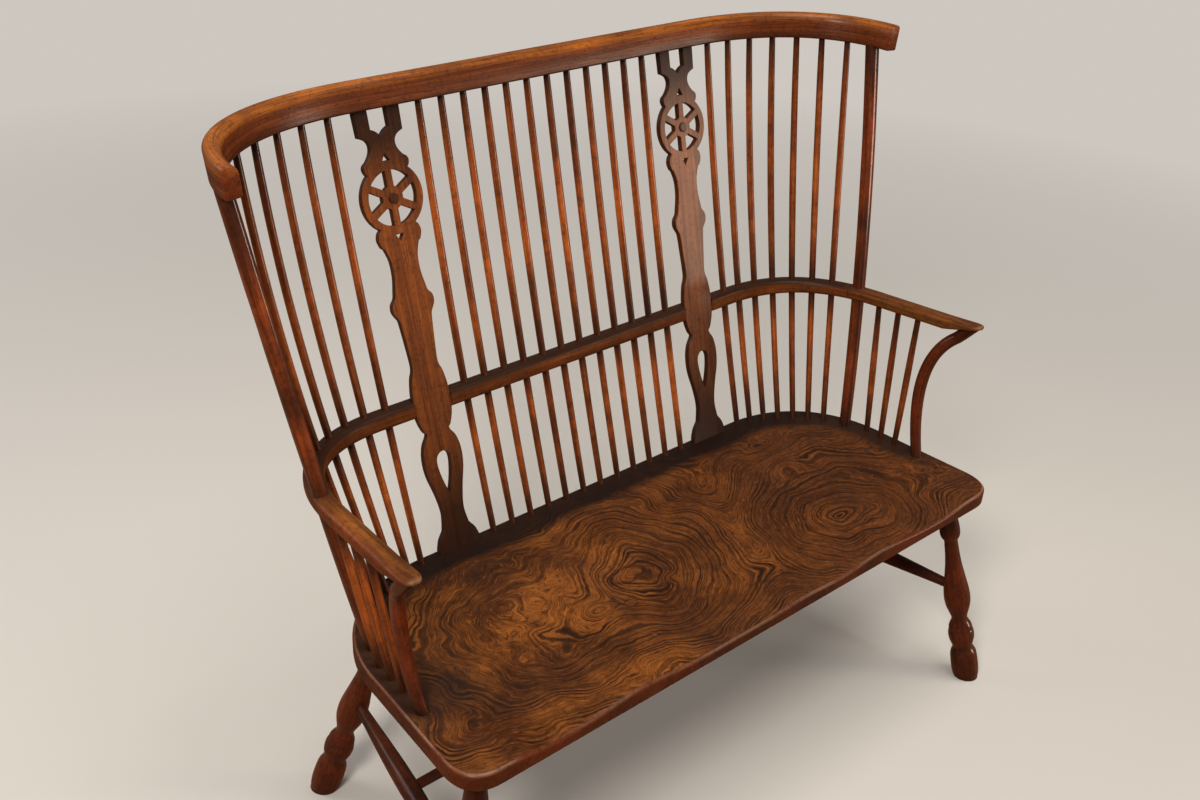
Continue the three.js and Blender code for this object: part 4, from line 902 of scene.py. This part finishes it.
def splat_outline():
    """The splat's whole edge, drawn flat with its length up Y."""
    lower, upper = splat_side(SPLAT_LOWER_SHARES), splat_side(SPLAT_UPPER_SHARES)
    start, end = (math.atan2(point.y - WHEEL_HEIGHT, point.x) for point in (lower[-1], upper[0]))
    arc = [Vector((WHEEL_RADIUS * math.cos(angle), WHEEL_HEIGHT + WHEEL_RADIUS * math.sin(angle), 0))
           for angle in (part_way(start, end, step / 22) for step in range(23))]
    fork_foot = SPLAT_LENGTH - FORK_DEPTH
    notch = Vector((0, fork_foot - FORK_NOTCH, 0))
    lobe = interpolate_bezier((FORK_HALF_GAP, fork_foot + 0.0038, 0), (0.012, fork_foot + 0.003, 0),
                              (0.005, fork_foot - 0.0015, 0), notch, 8)
    head = SPLAT_LENGTH + SPLAT_TENON
    right = [Vector((lower[0].x, -SPLAT_TENON, 0)), *lower, *arc, *upper, Vector((upper[-1].x, head, 0)),
             Vector((FORK_HALF_GAP, head, 0)), *lobe[:-1]]
    return [*right, notch, *mirrored(right)]


def splat_piercings():
    """The wheel's six windows, the tear under the bow and the two small corners over and under the wheel."""
    inner = WHEEL_RADIUS - WHEEL_RIM
    outer_turn, inner_turn = (math.pi / 6 - math.asin(HALF_SPOKE / radius) for radius in (inner, HUB_RADIUS))
    holes = []
    for index in range(6):
        middle = (index + 0.5) * math.pi / 3 + math.pi / 2
        window = [(inner, middle + outer_turn * (step / 6 - 1)) for step in range(13)]
        window += [(HUB_RADIUS, middle + inner_turn), (HUB_RADIUS, middle - inner_turn)]
        holes.append([Vector((radius * math.cos(angle), WHEEL_HEIGHT + radius * math.sin(angle), 0))
                      for radius, angle in window])
    half = TEAR_HALF_WIDTH
    side = interpolate_bezier((0, TEAR_FOOT, 0), (half / 2, TEAR_FOOT + half, 0),
                              (half, TEAR_WIDEST - half, 0), (half, TEAR_WIDEST, 0), 12)
    side += interpolate_bezier((half, TEAR_WIDEST, 0), (half, TEAR_HEAD - half / 3, 0),
                               (half / 2, TEAR_HEAD, 0), (0, TEAR_HEAD, 0), 10)[1:]
    holes.append(side + mirrored(side[1:-1]))
    for way in (-1, 1):
        base, tip = (WHEEL_HEIGHT + way * (WHEEL_RADIUS + reach) for reach in (CORNER_BASE, CORNER_TIP))
        holes.append([Vector((-CORNER_HALF_WIDTH, base, 0)), Vector((CORNER_HALF_WIDTH, base, 0)),
                      Vector((0, tip, 0))])
    return holes


def splat_wood():
    """Flat-sawn brown board: near black at the foot, smoky under the crest rail, rubbed warm in the middle."""
    material, place, mark, use = new_wood("splat_wood", 0.14, 0.16)
    grain = grain_of(mark, 0.7)
    colour = mixed(grain["Bands"], (108, 53, 21), (150, 80, 32))
    colour = stained(colour, grain["Streaks"], 0.5, (66, 34, 18))
    colour = stained(colour, use["Grime"], 0.4, (76, 38, 20))
    dark = height_mask(place, [(0.435, 1.0), (0.5, 0.95), (0.6, 0.5), (0.72, 0.3), (0.86, 0.0), (0.98, 0.1),
                               (1.03, 0.5), (1.075, 0.95), (1.117, 1.0)])
    colour = stained(colour, dark, 0.92, (26, 14, 9))
    from_middle = maths("ABSOLUTE", add("SeparateXYZ", {0: mark["Vector"]}).outputs["Y"])
    colour = stained(colour, fade(from_middle, 0.0047, 0.0041), 0.8, (34, 18, 11))
    colour = mixed(fade(from_middle, 0.0055, 0.006, 0.0, 0.8), colour, (46, 25, 16))
    return finish_wood(material, colour, use, grain["Streaks"], 0.4)


flat_board = bpy.data.curves.new("flat_splat", "CURVE")
flat_board.dimensions = "2D"
flat_board.fill_mode = "BOTH"
flat_board.extrude = SPLAT_THICKNESS / 2 - SAWN_EDGE
flat_board.bevel_depth = SAWN_EDGE
flat_board.bevel_resolution = 1
flat_board.offset = -SAWN_EDGE
for line in (splat_outline(), *splat_piercings()):
    spline = flat_board.splines.new("POLY")
    spline.points.add(len(line) - 1)
    for knot, point in zip(spline.points, line):
        knot.co = (*point, 1)
    spline.use_cyclic_u = True
board_holder = bpy.data.objects.new("flat_splat", flat_board)
board_mesh = bpy.data.meshes.new_from_object(board_holder)
bpy.data.objects.remove(board_holder)
SPLAT_WOOD = splat_wood()
for label, side in (("left", -1), ("right", 1)):
    splat_bm = bmesh.new()
    splat_bm.from_mesh(board_mesh)
    bmesh.ops.remove_doubles(splat_bm, verts=splat_bm.verts, dist=1e-6)
    boss = bmesh.ops.create_cone(splat_bm, cap_ends=True, segments=28, radius1=BOSS_RADIUS,
                                 radius2=BOSS_RADIUS, depth=2 * BOSS_HEIGHT)["verts"]
    boss_edges = {edge for corner in boss for edge in corner.link_edges
                  if all(end.co.z > 0 for end in edge.verts)}
    bmesh.ops.bevel(splat_bm, geom=list(boss_edges), offset=BOSS_ROUND, segments=3, profile=0.5,
                    affect="EDGES", material=-1)
    boss_corners = [corner for corner in splat_bm.verts if corner.co.xy.length < BOSS_RADIUS + 0.0001]
    bmesh.ops.translate(splat_bm, verts=boss_corners, vec=(0, WHEEL_HEIGHT, SPLAT_THICKNESS / 2))
    keep_grain(splat_bm, Matrix.Translation((side * 0.4, 0, 0)) @ Matrix.Rotation(math.radians(90), 4, "X"))
    stand = (Matrix.Translation((side * SPLAT_ALONG, SEAT_FRONT + SPLAT_DEPTH, SEAT_TOP))
             @ Matrix.Rotation(math.pi / 2 - math.atan(SPLAT_LEAN), 4, "X")
             @ Matrix.Rotation(-side * math.atan(SPLAT_SWAY / SPLAT_LENGTH), 4, "Z")
             @ Matrix.Translation((0, 0, -SPLAT_THICKNESS / 2)))
    bmesh.ops.transform(splat_bm, matrix=stand, verts=splat_bm.verts)
    finish_piece(splat_bm, f"wheel_splat_{label}", SPLAT_WOOD, [f"splat_{label}"], 12)

# The crest rail: a deeper bar of ash or yew, steamed and bent, that leans back with the sticks and comes
# forward at both ends. Its front top edge is rolled for the shoulders. Its top is honey orange, partly polished
# so by hands and partly painted light from above, and the lower part of its front is darker in painted shade.
CREST = {"half_straight": 0.34, "half_width": 0.636, "rear": 0.6208, "corner_end": 0.411, "handle": 0.6}
CREST_HEIGHT, CREST_THICKNESS = 0.0445, 0.0235
CREST_EASE, CREST_BACK_ROUND, CREST_FRONT_ROLL = 0.003, 0.006, 0.014
CREST_END = 0.005
END_HEIGHT_SHARE, END_THICKNESS_SHARE = 0.92, 0.86
BACK_LEAN, SIDE_LEAN = 0.25, 0.1


def crest_section(height, thickness):
    """The rail's section from its underside up: eased below, a rolled front top and a rounded back top."""
    section = []
    for side, on_top, full_radius, start in ((1, False, CREST_EASE, -90), (1, True, CREST_BACK_ROUND, 0),
                                             (-1, True, CREST_FRONT_ROLL, 90), (-1, False, CREST_EASE, 180)):
        radius = full_radius * height / CREST_HEIGHT
        middle = height - radius if on_top else radius
        for step in range(7):
            angle = math.radians(start + 15 * step)
            section.append((side * (thickness / 2 - radius) + radius * math.cos(angle),
                            middle + radius * math.sin(angle)))
    return section


def crest_wood():
    """Honey top, partly hand-rubbed and partly painted light from above; red-brown front with worm holes;
    painted shade below; redder ends.
    """
    material, _, mark, use = new_wood("crest_wood", 0.11, 0.22, holes={"Hole Size": 0.0011, "Hole Share": 0.13})
    _, up, along = add("SeparateXYZ", {0: mark["Vector"]}).outputs
    grain = grain_of(mark, 0.6)
    rise = maths("DIVIDE", up, CREST_HEIGHT)
    front = mixed(grain["Bands"], (84, 37, 14), (130, 63, 24))
    # The lighter top: partly hand polish, partly painted light from above.
    top = mixed(grain["Bands"], (124, 66, 24), (176, 100, 38))
    colour = mixed(fade(maths("MULTIPLY_ADD", use["Polish"], 0.03, rise), 0.66, 0.74), front, top)
    # Painted shade on the lower part of the rail's front.
    colour = mixed(fade(rise, 0.3, 0.0, 0.0, 0.8), colour, (52, 24, 13))
    colour = stained(colour, grain["Streaks"], 0.55, (56, 26, 13))
    colour = stained(colour, use["Grime"], 0.6, (70, 31, 15))
    colour = stained(colour, fade(maths("ABSOLUTE", along), 0.725, 0.745), 0.4, (122, 54, 28))
    return finish_wood(material, colour, use, grain["Streaks"], 0.26, 0.0012)


crest_half = bent_path(CREST, 20, 56, 0)
crest_length = crest_half[-1][1]
crest_half = round_off(crest_half, CREST_END, (0.35, 0.6, 0.78, 0.9, 0.97, 1.0))
crest_stations = []
for point, way, distance in both_halves(crest_half):
    rounding = roundness(distance, crest_length, CREST_END)
    height = CREST_HEIGHT * part_way(END_HEIGHT_SHARE, 1, rounding)
    thickness = CREST_THICKNESS * part_way(END_THICKNESS_SHARE, 1, rounding)
    outward = Vector((0, 0, 1)).cross(way).normalized()
    lean = BACK_LEAN * outward.y ** 2 + SIDE_LEAN * outward.x ** 2
    upward = (Vector((0, 0, 1)) + outward * lean).normalized()
    across_way = upward.cross(way).normalized()
    section = [(across, rise + (CREST_HEIGHT - height) / 2)
               for across, rise in crest_section(height, thickness)]
    centre = Vector((point.x, SEAT_FRONT + point.y, SEAT_TOP + BACK_HEIGHT))
    crest_stations.append((centre, across_way, way.cross(across_way), distance, section))
finish_piece(bent_bar(crest_stations), "bent_crest_rail", crest_wood(), ["crest_rail"], 55)

# The floor and the light: a plain floor, pale to the camera and brown in the light that it throws back, which
# runs out into a backdrop of one colour. Four soft round lamps light the settee.
DISTANCE_COLOUR = srgb(205, 199, 192)
DISTANCE_START, DISTANCE_FULL = 1.12, 4.0
floor_bm = bmesh.new()
bmesh.ops.create_grid(floor_bm, x_segments=1, y_segments=1, size=9)
floor_mesh = bpy.data.meshes.new("floor")
floor_bm.to_mesh(floor_mesh)
floor_bm.free()
floor = bpy.data.objects.new("floor", floor_mesh)
bpy.context.scene.collection.objects.link(floor)
floor_paint = bpy.data.materials.new("floor_paint")
floor_paint.use_nodes = True
floor_nodes = floor_paint.node_tree.nodes
paint = floor_nodes["Principled BSDF"]
paint.inputs["Roughness"].default_value = 0.7
to_camera = floor_nodes.new("ShaderNodeLightPath").outputs["Is Camera Ray"]
floor_paint.node_tree.links.new(mixed(to_camera, (150, 108, 76), (214, 208, 200)), paint.inputs["Base Color"])
floor_place = floor_nodes.new("ShaderNodeTexCoord").outputs["Object"]
from_middle = add("VectorMath", {0: floor_place}, operation="LENGTH")
far = fade(from_middle.outputs["Value"], DISTANCE_START, DISTANCE_FULL)
glow = floor_nodes.new("ShaderNodeEmission")
glow.inputs["Color"].default_value = DISTANCE_COLOUR
whole_floor = add("MixShader", {0: times(far, to_camera), 1: paint.outputs[0], 2: glow.outputs[0]})
floor_paint.node_tree.links.new(whole_floor.outputs[0], floor_nodes["Material Output"].inputs["Surface"])
floor_mesh.materials.append(floor_paint)

world = bpy.data.worlds.new("studio")
bpy.context.scene.world = world
world.use_nodes = True
sky_nodes = world.node_tree.nodes
sky = sky_nodes["Background"]
sky.inputs["Color"].default_value = (1.0, 0.96, 0.92, 1)
sky.inputs["Strength"].default_value = 0.15
backdrop = sky_nodes.new("ShaderNodeBackground")
backdrop.inputs["Color"].default_value = DISTANCE_COLOUR
seen = sky_nodes.new("ShaderNodeLightPath").outputs["Is Camera Ray"]
either = add("MixShader", {0: seen, 1: sky.outputs[0], 2: backdrop.outputs[0]})
world.node_tree.links.new(either.outputs[0], sky_nodes["World Output"].inputs["Surface"])


def lamp(name, place, target, size, power, colour):
    """A soft round lamp that looks at a point."""
    light = bpy.data.lights.new(name, "AREA")
    light.shape = "DISK"
    light.size = size
    light.energy = power
    light.color = colour
    holder = bpy.data.objects.new(name, light)
    holder.location = place
    holder.rotation_euler = (Vector(target) - Vector(place)).to_track_quat("-Z", "Y").to_euler()
    bpy.context.scene.collection.objects.link(holder)


lamp("key_lamp", (-2.6, -1.5, 3.3), (0, 0, 0.6), 1.0, 100, (1.0, 0.96, 0.91))
lamp("ceiling_lamp", (0.4, -0.6, 4.4), (0, 0, 0.5), 2.2, 95, (1.0, 0.98, 0.95))
lamp("window_lamp", (3.1, -2.9, 1.0), (0, 0, 0.7), 1.1, 46, (1.0, 0.84, 0.66))
lamp("back_lamp", (-2.4, 2.8, 2.6), (0, 0, 0.7), 2.0, 45, (1.0, 0.98, 0.96))

# The camera: it stands where the photograph was taken from, looks down to the right and is rolled a little.
CAMERA_PLACE = (-1.34117, -1.31479, 1.74285)
CAMERA_TURNS = [(-42.884, "Z"), (90 - 29.818, "X"), (3.399, "Z")]
camera_data = bpy.data.cameras.new("camera")
camera_data.lens = 40.52
camera_data.sensor_width = 36
camera = bpy.data.objects.new("camera", camera_data)
camera_stand = Matrix.Translation(CAMERA_PLACE)
for degrees, axis in CAMERA_TURNS:
    camera_stand = camera_stand @ Matrix.Rotation(math.radians(degrees), 4, axis)
camera.matrix_world = camera_stand
bpy.context.scene.collection.objects.link(camera)
bpy.context.scene.camera = camera
bpy.context.scene.view_settings.view_transform = "Standard"
